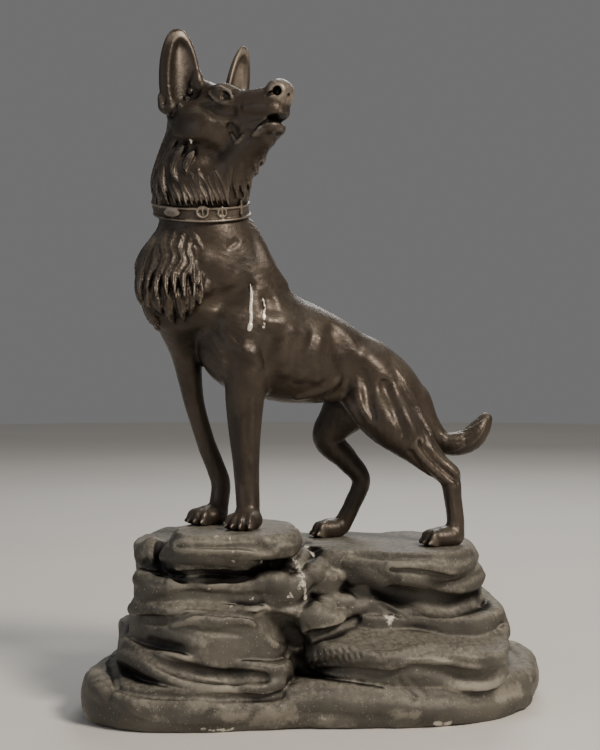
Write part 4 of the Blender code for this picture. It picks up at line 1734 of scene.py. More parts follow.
@dataclass
class Dog:
    """The cast dog: masses first, then features, coat and collar, then meshes."""

    head: Head = field(default_factory=Head)
    trunk: Trunk = field(default_factory=Trunk)
    legs: Legs = field(default_factory=Legs)
    tail: Tail = field(default_factory=Tail)
    collar: Collar = field(default_factory=Collar)
    fringe_locks: int = 11
    thigh_locks: int = 13

    def __post_init__(self) -> None:
        """Build the bare skin and then the dressed one."""
        masses = [*self.trunk.masses(), *self.head.masses(), *self.legs.fore(), *self.legs.hind()]
        rough = Solid([*masses, *self.tail.masses()])
        self.skin = Solid([*rough.forms, *self.trunk.ruff(rough)])
        face = [*self.head.features(self.skin), *self.head.ears()]
        form = [*self.trunk.features(self.skin), *self.legs.features(self.skin)]
        self.bare = Solid([*self.skin.forms, *form, *face])
        self.bare = Solid([*self.bare.forms, *self.head.ear_folds(self.bare)])
        self.comb = Comb(self.skin)
        self.hardware = self.collar.hardware(self.skin)
        self.dressed = Solid([*self.bare.forms, *self.coat(), *self.runs(), *self.hair(), Soles()])

    def hair(self) -> list[Form]:
        """Return the short hair of trunk, legs and face, each lying its own way.

        Returns:
            The three coats of hair.
        """
        face = tuple(float(v) for v in MUZZLE_WAY)
        return [
            Hair(0.0, 11, 0.045, 3.4, 0.34, (1.0, 0.0, -0.25), (-40, -40, 23), (40, 40, 62)),
            Hair(0.0, 12, 0.06, 3.0, 0.3, (0.12, 0.0, -1.0), (-40, -40, -4), (40, 40, 23)),
            Hair(0.0, 13, 0.04, 1.7, 0.24, face, (-40, -40, 72), (40, 40, 89)),
        ]

    def runs(self) -> list[Form]:
        """Return the white runs as low beads on the skin."""
        return [ridge(self.skin, line, (width, width), 0.45, 0.12) for line, width in WHITE_RUNS]

    def neck_starts(self, height: float, middle: Spot, first: float, last: float, count: int) -> Array:
        """Return places on the skin at a height, at even bearings round a middle.

        Args:
            height: Height in parts.
            middle: Place in plan.
            first: First bearing in degrees.
            last: Last bearing in degrees.
            count: How many places.

        Returns:
            The places.
        """
        bearings = np.radians(np.linspace(first, last, count))
        ways = np.stack([np.cos(bearings), np.sin(bearings), np.zeros(count)], axis=1)
        centre = np.array([*middle, height])
        spots = centre + ways[:, None, :] * np.linspace(16.0, 2.0, 120)[None, :, None]
        inside = self.skin(spots.reshape(-1, 3)).reshape(spots.shape[:2]) < 0
        return spots[np.arange(count), inside.argmax(axis=1)]

    def coat(self) -> list[Form]:
        """Return the locks of the neck, ruff, thigh and tail.

        Returns:
            The locks in the order they lie.
        """
        comb = self.comb
        forms: list[Form] = []
        rows = (
            # height, middle, first and last bearing, locks, length, half width, height
            (43.5, (-20.5, -10.6), 118, 192, 7, 4.0, 1.2, 0.8),
            (47.5, (-20.5, -10.6), 96, 204, 10, 8.0, 1.3, 1.2),
            (52.5, (-20.5, -10.6), 100, 200, 10, 8.5, 1.25, 1.2),
            (58.0, (-21.0, -10.8), 104, 202, 9, 8.5, 1.2, 1.0),
            (69.5, (-23.2, -11.4), -18, 214, 22, 6.8, 0.72, 0.85),
            (74.5, (-22.5, -12.2), 60, 206, 13, 7.5, 0.95, 0.9),
            (79.0, (-22.3, -12.6), 90, 196, 9, 7.5, 1.0, 0.8),
        )
        for height, middle, first, last, count, length, width, high in rows:
            starts = self.neck_starts(height, middle, first, last, count)
            ways = np.tile([0.0, 0.0, -1.0], (count, 1))
            forms += comb.row(starts, ways, length, width, high, strands=3.0, groove=0.2)
        for table, strands, groove in (
            (RUFF_LOCKS, 2.6, 0.22), (NAPE_LOCKS, 3.0, 0.2), (THROAT_LOCKS, 3.0, 0.12)
        ):
            forms += [comb.drawn(*lock, strands=strands, groove=groove) for lock in table]
        return [*forms, *self.fringe(), *self.thigh_hair(), *self.tail_hair()]

    def fringe(self) -> list[Form]:
        """Return the short locks that hang over the collar.

        Returns:
            The locks.
        """
        forms = []
        for k in range(self.fringe_locks):
            sway, rise = 1.6 * np.sin(2.4 * k), 4.0 * np.sin(1.7 * k + 1.0)
            line = [
                (column + pitch * k + swing * sway, row + max(swing, 0) * rise)
                for column, row, pitch, swing in FRINGE_PLACES
            ]
            size = 0.74 + 0.16 * np.sin(3.1 * k)
            height = 0.95 + 0.2 * np.sin(1.3 * k)
            forms.append(self.comb.drawn(line, size, height, strands=2.0, groove=0.14))
        return forms

    def thigh_hair(self) -> list[Form]:
        """Return the fine locks down the back of the near thigh.

        Returns:
            The locks.
        """
        forms = []
        for k in range(self.thigh_locks):
            share = k / (self.thigh_locks - 1)
            x, y = THIGH_START[0] + THIGH_RUN[0] * share, THIGH_START[1] + THIGH_RUN[1] * share
            for steps, high in ((THIGH_OUTER, 0.3), (THIGH_INNER, 0.26)):
                line = [(x + right, y + down) for right, down in steps]
                forms.append(self.comb.drawn(line, 0.42, high, strands=2.0))
        return forms

    def tail_hair(self) -> list[Form]:
        """Return the long locks of the tail, those of its root first.

        Returns:
            The locks.
        """
        forms = []
        for shift in (-5.0, 0.0, 5.0):
            for places, width in ((TAIL_ROOT, 0.85), (TAIL_END, 0.8)):
                line = [(column, row + lean * shift) for column, row, lean in places]
                forms.append(self.comb.drawn(line, width, 0.5, strands=3.0))
        return forms

    def split(self, half: Half) -> Measure:
        """Return the dressed field of one half of the figure.

        Args:
            half: Which half to keep.

        Returns:
            Its field.
        """

        def distance(points: Array) -> Array:
            """Keep one side of the collar's middle plane."""
            return np.maximum(self.dressed(points), half.value * self.collar.height(points))

        return distance

    def whole(self, points: Array) -> Array:
        """Return the field of the figure with its collar on."""
        return np.minimum(self.dressed(points), self.collar_field(points))

    def collar_field(self, points: Array) -> Array:
        """Return the field of the band, its rolled edges, its rings and its plate."""
        return soft_min(self.collar.band(self.skin, points), self.hardware(points), 0.2)

    def paint(self, item: bpy.types.Object, places: Array, normals: Array) -> None:
        """Store how closed in and how proud each vertex is, and how near it is to a white run.

        Args:
            item: The piece.
            places: Its vertices in parts.
            normals: Its vertex normals.
        """
        # For the collar, the band counts as well, so that painted shade falls where the collar meets the
        # neck.
        whole = self.dressed if item.name != "dog_collar" else self.whole
        # hollow: how closed in each place is. The material darkens it as painted shade, with some dark patina
        # in recesses.
        hollow = hollowness(whole, places, normals, (0.6, 1.5, 4.0))
        proud = sharpness(whole, places, normals, (0.4, 1.2))
        give_attribute(item, "hollow", hollow)
        # proud: thin edges and the nose pad. The material pales them as rubbed metal and as painted
        # highlight.
        proud *= np.clip(1.0 - 2.5 * hollow, 0.0, 1.0)
        nose = smooth_step(np.linalg.norm(places - HEAD(21.0, 0, -2.8), axis=1), 3.6, 2.6)
        give_attribute(item, "proud", np.maximum(proud, 0.4 * nose))
        give_attribute(item, "white_run", nearness(self.skin, places, WHITE_RUNS))

    def build(self) -> list[bpy.types.Object]:
        """Make the head, the body and the collar as meshes in metres.

        Returns:
            The three pieces.
        """
        items = []
        parts = (
            ("dog_head", self.split(Half.HEAD), (-36, -34, 58), (4, 8, 105), CAST.head_grain),
            ("dog_body", self.split(Half.BODY), (-38, -34, -5), (42, 14, 74), CAST.body_grain),
            ("dog_collar", self.collar_field, (-36, -24, 58), (-8, 2, 70), CAST.head_grain),
        )
        for name, distance, low, high, grain in parts:
            knots, quads = net(distance, low, high, grain)
            item = thinned(make_mesh(name, knots * PART + ORIGIN, quads), CAST.triangles)
            places, normals = places_and_normals(item)
            self.paint(item, (places - ORIGIN) / PART, normals)
            LOG.info("%s: %d faces", name, len(item.data.polygons))
            items.append(item)
        return items


# The rock, in parts as well, so that places of the picture land on it as they do on the figure

ROCK_LOW, ROCK_HIGH = (np.array(corner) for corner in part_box("rock_base"))
ROCK_SPAN = ROCK_HIGH - ROCK_LOW
PERCENT = float(ROCK_HIGH[2]) / 100.0


def in_parts(place: Array) -> Array:
    """Turn a place in metres into parts."""
    return (np.asarray(place, float) - ORIGIN) / PART


@dataclass
class Slab(Form):
    """An irregular slab of rock, its sizes in metres.

    Its outline is a rounded square with waves in it. The distance is the higher of the way past
    the outline and the way past the faces, eased at the edge.
    """

    middle: Spot = (0.0, 0.0)
    half_sizes: Spot = (0.1, 0.1)
    top: float = 0.1
    thickness: float = 0.02
    turn: float = 0.0
    dip: float = 0.0
    fall: float = 0.0
    seed: float = 0.0
    edge: float = 1.35
    squareness: float = 3.1

    def __post_init__(self) -> None:
        """Work out the slab's own directions and its outline's reach at each bearing."""
        turning = Matrix.Rotation(np.radians(self.turn), 3, "Z")
        dipping = Matrix.Rotation(np.radians(self.dip), 3, "X")
        falling = Matrix.Rotation(np.radians(self.fall), 3, "Y")
        self.frame = np.array(dipping @ falling @ turning)
        angle = np.linspace(-np.pi, np.pi, 181)
        c, s = np.cos(angle), np.sin(angle)
        power = self.squareness
        square = (np.abs(c) ** power + np.abs(s) ** power) ** (-1 / power)
        wave = 1 + 0.05 * np.sin(2 * angle + self.seed) + 0.04 * np.sin(3 * angle + 2.3 * self.seed)
        wave += 0.03 * np.sin(5 * angle + 3.1 * self.seed) + 0.02 * np.sin(7 * angle + 4.7 * self.seed)
        walk = (square * wave)[:, None] * np.stack([c, s], axis=1)
        walk = 2 * (walk - walk.min(axis=0)) / (walk.max(axis=0) - walk.min(axis=0)) - 1
        bearing = np.arctan2(walk[:, 1], walk[:, 0])
        order = np.argsort(bearing)
        self.bearing, self.reach = bearing[order], np.linalg.norm(walk, axis=1)[order]
        self.centre = in_parts((*self.middle, self.top - self.thickness / 2))
        self.half = np.array([*self.half_sizes, self.thickness / 2]) / PART

    def box(self) -> tuple[Array, Array]:
        """Return the corners of the slab's box."""
        room = np.abs(self.frame) @ self.half + 3.0 + 2.0 * self.ease
        return self.centre - room, self.centre + room

    def apply(self, points: Array, before: Array) -> Array:
        """Join the slab to the field.

        Args:
            points: Places.
            before: The field there.

        Returns:
            The field with the form.
        """
        local = (points - self.centre) @ self.frame
        scaled = local[:, :2] / self.half[:2]
        length = np.maximum(np.linalg.norm(scaled, axis=1), 1e-6)
        reach = np.interp(np.arctan2(scaled[:, 1], scaled[:, 0]), self.bearing, self.reach, period=2 * np.pi)
        size = np.linalg.norm(local[:, :2], axis=1) / length
        out = (length - reach) * np.minimum(size, self.half[:2].min() * 1.3)
        over = np.abs(local[:, 2]) - self.half[2]
        return soft_min(before, soft_max(out, over, self.edge), self.ease)


@dataclass
class Weather(Form):
    """Weathered rock: places are shifted by noise before the forms are read, and then roughened."""

    inner: Solid = None
    drift: Trio = (0.5, 0.5, 0.32)
    patch: float = 7.0
    grit: float = 0.05
    grit_patch: float = 1.1
    behind: float = 1.2

    def __post_init__(self) -> None:
        """Seed the noises."""
        self.warps = (Noise(21), Noise(22), Noise(23))
        self.rough = Noise(24)

    def box(self) -> tuple[Array, Array]:
        """Return the corners of the rock's room."""
        return np.full(3, -90.0), np.full(3, 90.0)

    def apply(self, points: Array, before: Array) -> Array:
        """Return the weathered field, level below and where the paws stand.

        Args:
            points: Places.
            before: The field there.

        Returns:
            The field with the form.
        """
        warp = np.stack([noise.layered(points / self.patch, 2) for noise in self.warps], axis=1)
        behind = 1.0 + self.behind * smooth_step(points[:, 1], 4.0, 16.0)
        value = self.inner(points + warp * np.array(self.drift) * behind[:, None])
        value = value + self.grit * self.rough.layered(points / self.grit_patch, 2)
        level = np.where(points[:, 0] < STEP_AT, STAND_LEVEL, STAND_LEVEL - HIND_DROP)
        value = np.maximum(value, points[:, 2] - level)
        return np.maximum(value, FLOOR_LEVEL - points[:, 2])


STAND_LEVEL = float(ROCK_HIGH[2] - ORIGIN[2]) / PART
FLOOR_LEVEL = float(ROCK_LOW[2] - ORIGIN[2]) / PART

# Places in the picture along the rock's lips and leaves, with girths in parts and shares sunk

ROCK_LIPS = (
    (((169, 530), (185, 533), (210, 534), (240, 534), (262, 538), (270, 543)), (1.1, 1.4, 1.3, 0.9), 0.45),
    (((272, 530), (288, 528), (300, 533)), (1.5, 1.7, 1.2), 0.6),
    (((172, 545), (200, 547), (232, 547), (256, 549)), (0.8, 1.0, 0.8), 0.5),
    (((165, 556), (190, 559), (225, 561), (257, 562)), (1.6, 1.9, 1.9, 1.5), 0.5),
    (((140, 556), (150, 549), (158, 556)), (2.0, 2.4, 1.8), 0.6),
    (((138, 570), (144, 580), (150, 588)), (1.6, 1.8, 1.3), 0.6),
    (((119, 597), (135, 597), (155, 592), (180, 587)), (1.5, 1.9, 1.5, 0.8), 0.45),
    (((170, 582), (205, 584), (245, 586), (275, 588)), (1.2, 1.6, 1.6, 1.2), 0.5),
    (
        ((124, 608), (150, 609), (190, 607), (230, 609), (268, 612), (295, 613)),
        (1.3, 1.5, 1.5, 1.5, 1.7, 1.4), 0.45,
    ),
    (((263, 582), (280, 577), (296, 566)), (2.2, 2.9, 2.0), 0.55),
    (((272, 600), (288, 594), (301, 584)), (2.4, 3.0, 2.2), 0.6),
    (((286, 570), (300, 556), (318, 544), (334, 538)), (1.8, 2.6, 2.6, 1.8), 0.5),
    (((300, 585), (316, 568), (332, 556), (343, 552)), (1.5, 2.4, 2.4, 1.6), 0.5),
    (((288, 634), (306, 618), (328, 604), (350, 597)), (1.4, 2.8, 3.0, 1.8), 0.5),
    (((302, 634), (322, 624), (345, 614), (362, 608)), (1.2, 2.2, 2.2, 1.4), 0.55),
    (
        ((174, 622), (192, 617), (220, 620), (250, 619), (266, 627), (276, 641)),
        (1.1, 1.5, 1.5, 1.5, 1.8, 1.5), 0.45,
    ),
    (((150, 630), (165, 632), (180, 640), (205, 645)), (1.5, 2.0, 1.5, 0.8), 0.6),
    (
        ((117, 655), (135, 661), (160, 673), (190, 683), (225, 688), (262, 688), (280, 683)),
        (1.8, 2.5, 2.3, 2.0, 1.8), 0.5,
    ),
    (((93, 668), (97, 682), (101, 694)), (2.0, 2.6, 2.2), 0.6),
    (
        ((118, 700), (140, 708), (175, 712), (215, 714), (260, 712), (290, 706)), (2.2, 2.8, 2.8, 2.6, 2.2),
        0.6,
    ),
    (((325, 549), (350, 547), (385, 549), (430, 552), (470, 552)), (1.2, 1.7, 1.7, 1.9, 1.7), 0.5),
    (((345, 563), (380, 564), (420, 567), (455, 569), (474, 562)), (1.0, 1.3, 1.3, 1.4, 1.2), 0.45),
    (((352, 580), (366, 576), (382, 582)), (1.8, 2.4, 1.8), 0.55),
    (((404, 581), (430, 585), (453, 590), (474, 584), (484, 577)), (1.4, 2.0, 2.2, 2.0, 1.4), 0.45),
    (((474, 602), (486, 603), (500, 614), (508, 630)), (1.5, 2.2, 2.2, 1.6), 0.6),
    (
        (
            (307, 659), (330, 653), (355, 652), (376, 657), (400, 653), (430, 648), (460, 650), (485, 652),
            (502, 660),
        ),
        (1.5, 1.9, 1.9, 1.5, 1.7, 1.9, 1.9, 2.1, 1.7), 0.5,
    ),
    (((378, 664), (390, 667), (400, 665)), (1.0, 1.4, 1.0), 0.5),
    (((515, 648), (526, 660), (532, 676)), (1.6, 2.2, 1.8), 0.6),
    (((290, 690), (315, 686), (350, 690), (380, 693)), (1.3, 1.8, 1.8, 1.4), 0.6),
    (
        ((300, 704), (345, 703), (400, 708), (450, 712), (500, 710), (528, 700)),
        (2.0, 2.6, 2.6, 2.8, 2.8, 2.2), 0.6,
    ),
)
ROCK_CRACKS = (
    (((166, 545), (200, 547), (235, 546), (262, 548)), (0.45, 0.55, 0.55, 0.7), 0.15),
    (((258, 547), (266, 549), (274, 546)), (0.7, 1.2, 0.6), 0.2),
    (((163, 574), (190, 576), (225, 576), (258, 574)), (0.9, 1.3, 1.3, 0.9), 0.1),
    (((161, 545), (162, 560), (165, 575)), (0.7, 1.0, 0.8), 0.2),
    (((142, 619), (170, 619), (200, 614), (240, 614), (262, 618)), (0.8, 0.9, 0.6, 0.7, 0.8), 0.1),
    (((266, 620), (279, 627), (292, 634)), (2.0, 2.8, 1.8), 0.25),
    (((187, 629), (210, 633), (240, 634)), (0.4, 0.6, 0.4), 0.2),
    (((150, 655), (165, 665), (190, 673), (225, 678), (262, 677)), (0.9, 1.5, 1.7, 1.6, 1.2), 0.1),
    (((116, 690), (150, 696), (200, 698), (250, 698), (281, 694)), (0.5, 0.8, 0.8, 0.8, 0.6), 0.2),
    (((112, 655), (113, 672), (116, 688)), (0.7, 1.0, 0.7), 0.2),
    (((290, 655), (297, 661), (306, 669), (316, 673)), (1.2, 1.8, 1.5, 0.8), 0.2),
    (((292, 566), (312, 550), (330, 545)), (0.4, 0.6, 0.4), 0.3),
    (((292, 644), (312, 636), (334, 629), (356, 620)), (0.8, 1.3, 1.2, 0.7), 0.1),
    (((352, 556), (372, 557), (400, 558), (430, 560)), (0.4, 0.6, 0.6, 0.3), 0.5),
    (((392, 569), (420, 573), (452, 576)), (0.5, 0.8, 0.6), 0.2),
    (((378, 588), (400, 596), (430, 602), (455, 605), (477, 600)), (1.2, 2.0, 2.4, 2.4, 1.5), 0.0),
    (((412, 668), (440, 672), (465, 678), (490, 679), (504, 670)), (0.8, 1.5, 2.2, 2.2, 1.4), 0.1),
    (((320, 672), (350, 671), (380, 674), (410, 671)), (0.7, 1.0, 1.0, 0.8), 0.3),
    (((438, 656), (458, 660), (480, 663)), (0.7, 1.1, 0.8), 0.35),
    (((398, 678), (406, 688), (416, 697)), (0.5, 0.6, 0.5), 0.62),
    (((408, 677), (416, 686), (426, 694)), (0.5, 0.6, 0.5), 0.62),
    (((380, 604), (392, 612), (405, 618)), (0.3, 0.5, 0.3), 0.3),
    (((390, 600), (403, 608), (418, 613)), (0.3, 0.5, 0.3), 0.3),
)
STROKE_ROWS = ((312.0, 662.5, 9, 6.0, -0.9, 6.5), (316.0, 653.5, 6, 6.6, -0.8, 3.0))

# Pale scuffs and beige chips on the rock as places in the picture, with half widths in parts

ROCK_SCUFFS = (
    (((306, 546), (311, 551), (314, 556)), 0.5),
    (((295, 561), (300, 570), (303, 583), (306, 598)), 0.55),
    (((296, 566), (299, 575), (300, 588)), 0.4),
    (((287, 597), (292, 606), (297, 616)), 0.15),
    (((290, 594), (295, 602)), 0.15),
    (((386, 616), (391, 620), (394, 616)), 0.5),
    (((388, 622), (390, 626)), 0.4),
    (((437, 723), (443, 726), (448, 723)), 0.9),
    (((321, 717), (325, 718)), 0.5),
    (((445, 655), (449, 664)), 0.1),
    (((452, 655), (459, 656)), 0.1),
    (((453, 661), (460, 662)), 0.1),
    (((230, 536), (231, 543)), 0.2),
    (((232, 553), (233, 562)), 0.25),
    (((216, 536), (216, 539)), 0.3),
    (((209, 587), (208, 597)), 0.15),
    (((235, 586), (234, 595)), 0.15),
    (((251, 596), (251, 599)), 0.35),
    (((231, 606), (231, 609)), 0.25),
    (((177, 605), (177, 609)), 0.15),
    (((260, 556), (262, 564)), 0.3),
    (((130, 694), (128, 699)), 0.15),
    (((203, 729), (218, 730), (232, 729)), 0.4),
    (((424, 533), (424, 540)), 0.1),
)
ROCK_CHIPS = (
    (((152, 716), (166, 718), (180, 717)), 1.0),
    (((222, 712), (232, 718), (244, 716)), 1.2),
    (((256, 722), (270, 716), (290, 714)), 1.4),
    (((231, 682), (242, 684), (252, 682)), 1.0),
    (((395, 715), (415, 717)), 0.9),
    (((500, 695), (520, 690)), 1.2),
    (((90, 670), (96, 672)), 1.0),
)


@dataclass
class Rock:
    """The cast rock: stacked slabs, weathered, flat below and flat where the paws stand."""

    base_thickness: float = 0.036
    paw_margin: float = 0.032
    beyond: float = 0.014
    spare: float = 0.0014

    slabs: tuple[tuple, ...] = (
        # place, half sizes, top, thickness, turn, dip, fall, seed; plan in hundredths of the rock's
        # width and depth, heights in hundredths of the front stand's
        ((19, -12), (22, 34), 54, 20, -6, 18, 4, 1.2),
        ((18, 4), (22, 36), 55, 55, 8, 0, 0, 2.1),
        ((17.5, 2), (18.5, 29), 79, 26, -4, 0, 2, 3.4),
        ((-20.5, -6), (13.0, 33), 91.5, 14, 4, 0, 0, 0.7),
        ((-32, 2), (7.5, 23), 92, 24, -8, 0, -5, 5.1),
        ((-20.5, -2), (19.5, 36.5), 77, 20, 3, 0, 0, 4.2),
        ((-22, -4), (19.5, 42), 61, 34, -5, 0, 0, 2.8),
        ((-24.5, -7), (19, 42), 40, 17, 6, 2, 5, 1.9),
        ((-2, -3), (12.5, 26), 85, 15, -24, 4, 20, 3.9),
        ((2.5, -10), (12, 28), 62, 18, -30, 10, 24, 0.4),
        ((-1, 4), (36, 37), 64, 64, 0, 0, 0, 5.9),
        ((-27, 29), (15, 13), 60, 22, 14, -7, 3, 1.7),
        ((-5, 34), (16, 10), 52, 20, -8, -9, -4, 3.3),
        ((21, 31), (15, 12), 62, 18, 10, -6, 5, 0.9),
        ((29, 18), (11, 22), 42, 17, -14, 3, 8, 4.4),
        ((-34, 8), (9, 25), 44, 16, 8, 0, -8, 2.2),
        ((8, 37), (19, 8), 34, 15, 4, -10, 0, 5.3),
        ((-21, 38), (15, 8), 33, 16, -8, -10, 2, 0.2),
    )

    def __post_init__(self) -> None:
        """Build the bare field and then the weathered one."""
        self.bare = Solid(self.forms())
        worked = [ridge(self.bare, line, girth, sink, 0.6) for line, girth, sink in ROCK_LIPS]
        worked += [
            furrow(self.bare, line, girth, lift, 0.25 + 0.45 * max(girth))
            for line, girth, lift in ROCK_CRACKS
        ]
        self.worked = Solid([*self.bare.forms, *worked])
        self.strokes = self.marks()
        self.solid = Solid([Weather(inner=Solid([*self.worked.forms, *self.strokes]))])

    def marks(self) -> list[Form]:
        """Return two rows of slanting strokes, shallow as if drawn with a stick, on the front lip.

        Returns:
            The strokes.
        """
        lines = []
        for column, row, count, pitch, rise, tall in STROKE_ROWS:
            for k in range(count):
                x, y = column + pitch * k, row + rise * k
                stroke = ((x, y - tall / 2), (x + 1.6, y + tall / 2))
                lines.append(furrow(self.worked, stroke, (0.4, 0.34), 0.15, 0.12))
        return lines

    def stand(self, paws: tuple, height: float, thickness: float, beyond: float, seed: float) -> Slab:
        """Return the slab that a pair of paws stands on.

        Args:
            paws: The two soles.
            height: The top, in metres.
            thickness: In metres.
            beyond: Room past the paws, in metres.
            seed: What its outline's waves start from.

        Returns:
            The slab.
        """
        spots = [ORIGIN + np.array(paw) * PART for paw in paws]
        middle = (spots[0] + spots[1])[:2] / 2 + (beyond / 2, 0.0)
        spread = np.abs(spots[0] - spots[1])
        half = ((spread[0] + beyond) / 2 + self.paw_margin, spread[1] / 2 + self.paw_margin * 1.45)
        return Slab(1.0, middle, half, height, thickness, seed=seed, edge=5.0)

    def forms(self) -> list[Form]:
        """Return every slab.

        Returns:
            The slabs, lowest first.
        """
        legs = Legs()
        middle = (ROCK_LOW + ROCK_HIGH)[:2] / 2
        sizes = ROCK_SPAN[:2] / 2
        top = float(ROCK_HIGH[2])
        ledge = top - HIND_DROP * PART
        forms: list[Form] = [
            Slab(
                1.0, middle, sizes, self.base_thickness, self.base_thickness + self.spare, seed=6.2, edge=4.0
            )
        ]
        for place, half, crest, thick, turn, dip, fall, seed in self.slabs:
            spot = middle + np.array(place) * ROCK_SPAN[:2] / 100
            size = np.array(half) * ROCK_SPAN[:2] / 100
            forms.append(Slab(0.5, spot, size, crest * PERCENT, thick * PERCENT, turn, dip, fall, seed))
        fore = (legs.near_fore_paw, legs.far_fore_paw)
        hind = (legs.near_hind_paw, legs.far_hind_paw)
        forms.append(self.stand(fore, top + self.spare, 15 * PERCENT, self.beyond, 1.1))
        forms.append(self.stand(hind, ledge + self.spare, 19 * PERCENT, 0.0, 2.6))
        return forms

    def paint(self, item: bpy.types.Object, places: Array, normals: Array) -> None:
        """Store how closed in, how proud, how scuffed and how chipped each vertex is.

        Args:
            item: The piece.
            places: Its vertices in parts.
            normals: Its vertex normals.
        """
        # hollow reaches out 7.5 parts. The material darkens undercuts, cracks and the gaps between slabs by
        # it, as painted shade and partly dark patina.
        give_attribute(item, "hollow", hollowness(self.worked, places, normals, (1.0, 3.0, 7.5)))
        # proud: edges, which the material pales as wear and painted highlight.
        give_attribute(item, "proud", sharpness(self.worked, places, normals, (0.8, 2.0)))
        give_attribute(item, "white_run", nearness(self.worked, places, ROCK_SCUFFS))
        give_attribute(item, "chip", nearness(self.worked, places, ROCK_CHIPS))

    def build(self) -> bpy.types.Object:
        """Make the rock as a mesh in metres.

        Returns:
            The piece.
        """
        low, high = in_parts(ROCK_LOW) - 1.5, in_parts(ROCK_HIGH) + 1.5
        knots, quads = net(self.solid, low, high, CAST.rock_grain)
        knots = np.clip(knots * PART + ORIGIN, ROCK_LOW, ROCK_HIGH)
        item = thinned(make_mesh("rock_casting", knots, quads), CAST.triangles)
        places, normals = places_and_normals(item)
        self.paint(item, in_parts(places), normals)
        LOG.info("rock_casting: %d faces", len(item.data.polygons))
        return item


# Materials


def linear(code: str) -> tuple[float, float, float, float]:
    """Turn an sRGB hex colour into linear red, green, blue and alpha."""
    tones = [int(code[i : i + 2], 16) / 255 for i in (1, 3, 5)]
    return (*(t / 12.92 if t <= 0.04045 else ((t + 0.055) / 1.055) ** 2.4 for t in tones), 1.0)


class Sheet:
    """A material's node sheet."""

    def __init__(self, name: str) -> None:
        """Start a material with only its output.

        Args:
            name: The material's name.
        """
        self.material = bpy.data.materials.new(name)
        self.material.use_nodes = True
        self.tree = self.material.node_tree
        self.tree.nodes.clear()

    def node(self, kind: str, settings: dict | None = None, **inputs: object) -> bpy.types.Node:
        """Add a node, set its properties, and set or link its inputs.

        Args:
            kind: The node's type.
            settings: Properties of the node itself.
            inputs: Values or sockets, by input name with underscores for spaces, or in_ and a number.

        Returns:
            The new node.
        """
        made = self.tree.nodes.new(kind)
        for key, value in (settings or {}).items():
            setattr(made, key, value)
        for key, value in inputs.items():
            place = int(key[3:]) if key.startswith("in_") else key.replace("_", " ")
            socket = made.inputs[place]
            if isinstance(value, bpy.types.NodeSocket):
                self.tree.links.new(value, socket)
            else:
                socket.default_value = value
        return made

    def mixed(self, share: object, first: object, second: object, blend: str = "MIX") -> bpy.types.NodeSocket:
        """Mix two colours and return the result."""
        kind = {"data_type": "RGBA", "blend_type": blend, "clamp_factor": True}
        return self.node("ShaderNodeMix", kind, in_0=share, in_6=first, in_7=second).outputs[2]

    def ranged(
        self, value: object, low: float, high: float, out_low: float = 0.0, out_high: float = 1.0
    ) -> bpy.types.NodeSocket:
        """Spread a value from one range onto another, smoothly and held at its ends.

        Args:
            value: The value or socket.
            low: The range's start.
            high: Its end.
            out_low: What the start becomes.
            out_high: What the end becomes.

        Returns:
            The new value's socket.
        """
        made = self.node(
            "ShaderNodeMapRange",
            {"interpolation_type": "SMOOTHSTEP"},
            Value=value,
            From_Min=low,
            From_Max=high,
            To_Min=out_low,
            To_Max=out_high,
        )
        return made.outputs[0]

    def summed(self, first: object, second: object, how: str = "ADD") -> bpy.types.NodeSocket:
        """Join two numbers by an operation."""
        return self.node("ShaderNodeMath", {"operation": how}, in_0=first, in_1=second).outputs[0]

    def rise(self) -> bpy.types.NodeSocket:
        """Read how far the surface faces up, from -1 to 1."""
        normal = self.node("ShaderNodeNewGeometry").outputs["Normal"]
        return self.node("ShaderNodeSeparateXYZ", None, Vector=normal).outputs[2]

    def covered(self, tone: object, rough: object, **others: object) -> bpy.types.Material:
        """Cover the material with one shader and return it.

        Args:
            tone: Colour.
            rough: Roughness.
            others: Its other inputs.

        Returns:
            The material.
        """
        shader = self.node("ShaderNodeBsdfPrincipled", None, Base_Color=tone, Roughness=rough, **others)
        self.node("ShaderNodeOutputMaterial", None, Surface=shader.outputs[0])
        return self.material

    def attribute(self, name: str) -> bpy.types.NodeSocket:
        """Read one number stored on the mesh."""
        return self.node("ShaderNodeAttribute", {"attribute_name": name}).outputs["Fac"]

    def noise(self, size: float, detail: float = 4.0, rough: float = 0.55) -> bpy.types.NodeSocket:
        """Read noise whose patches are size metres wide.

        Args:
            size: Patch width in metres.
            detail: Layers of noise.
            rough: Strength of the finer layers.

        Returns:
            The noise's socket.
        """
        place = self.node("ShaderNodeTexCoord").outputs["Object"]
        made = self.node(
            "ShaderNodeTexNoise", None, Vector=place, Scale=1.0 / size, Detail=detail, Roughness=rough
        )
        return made.outputs[0]


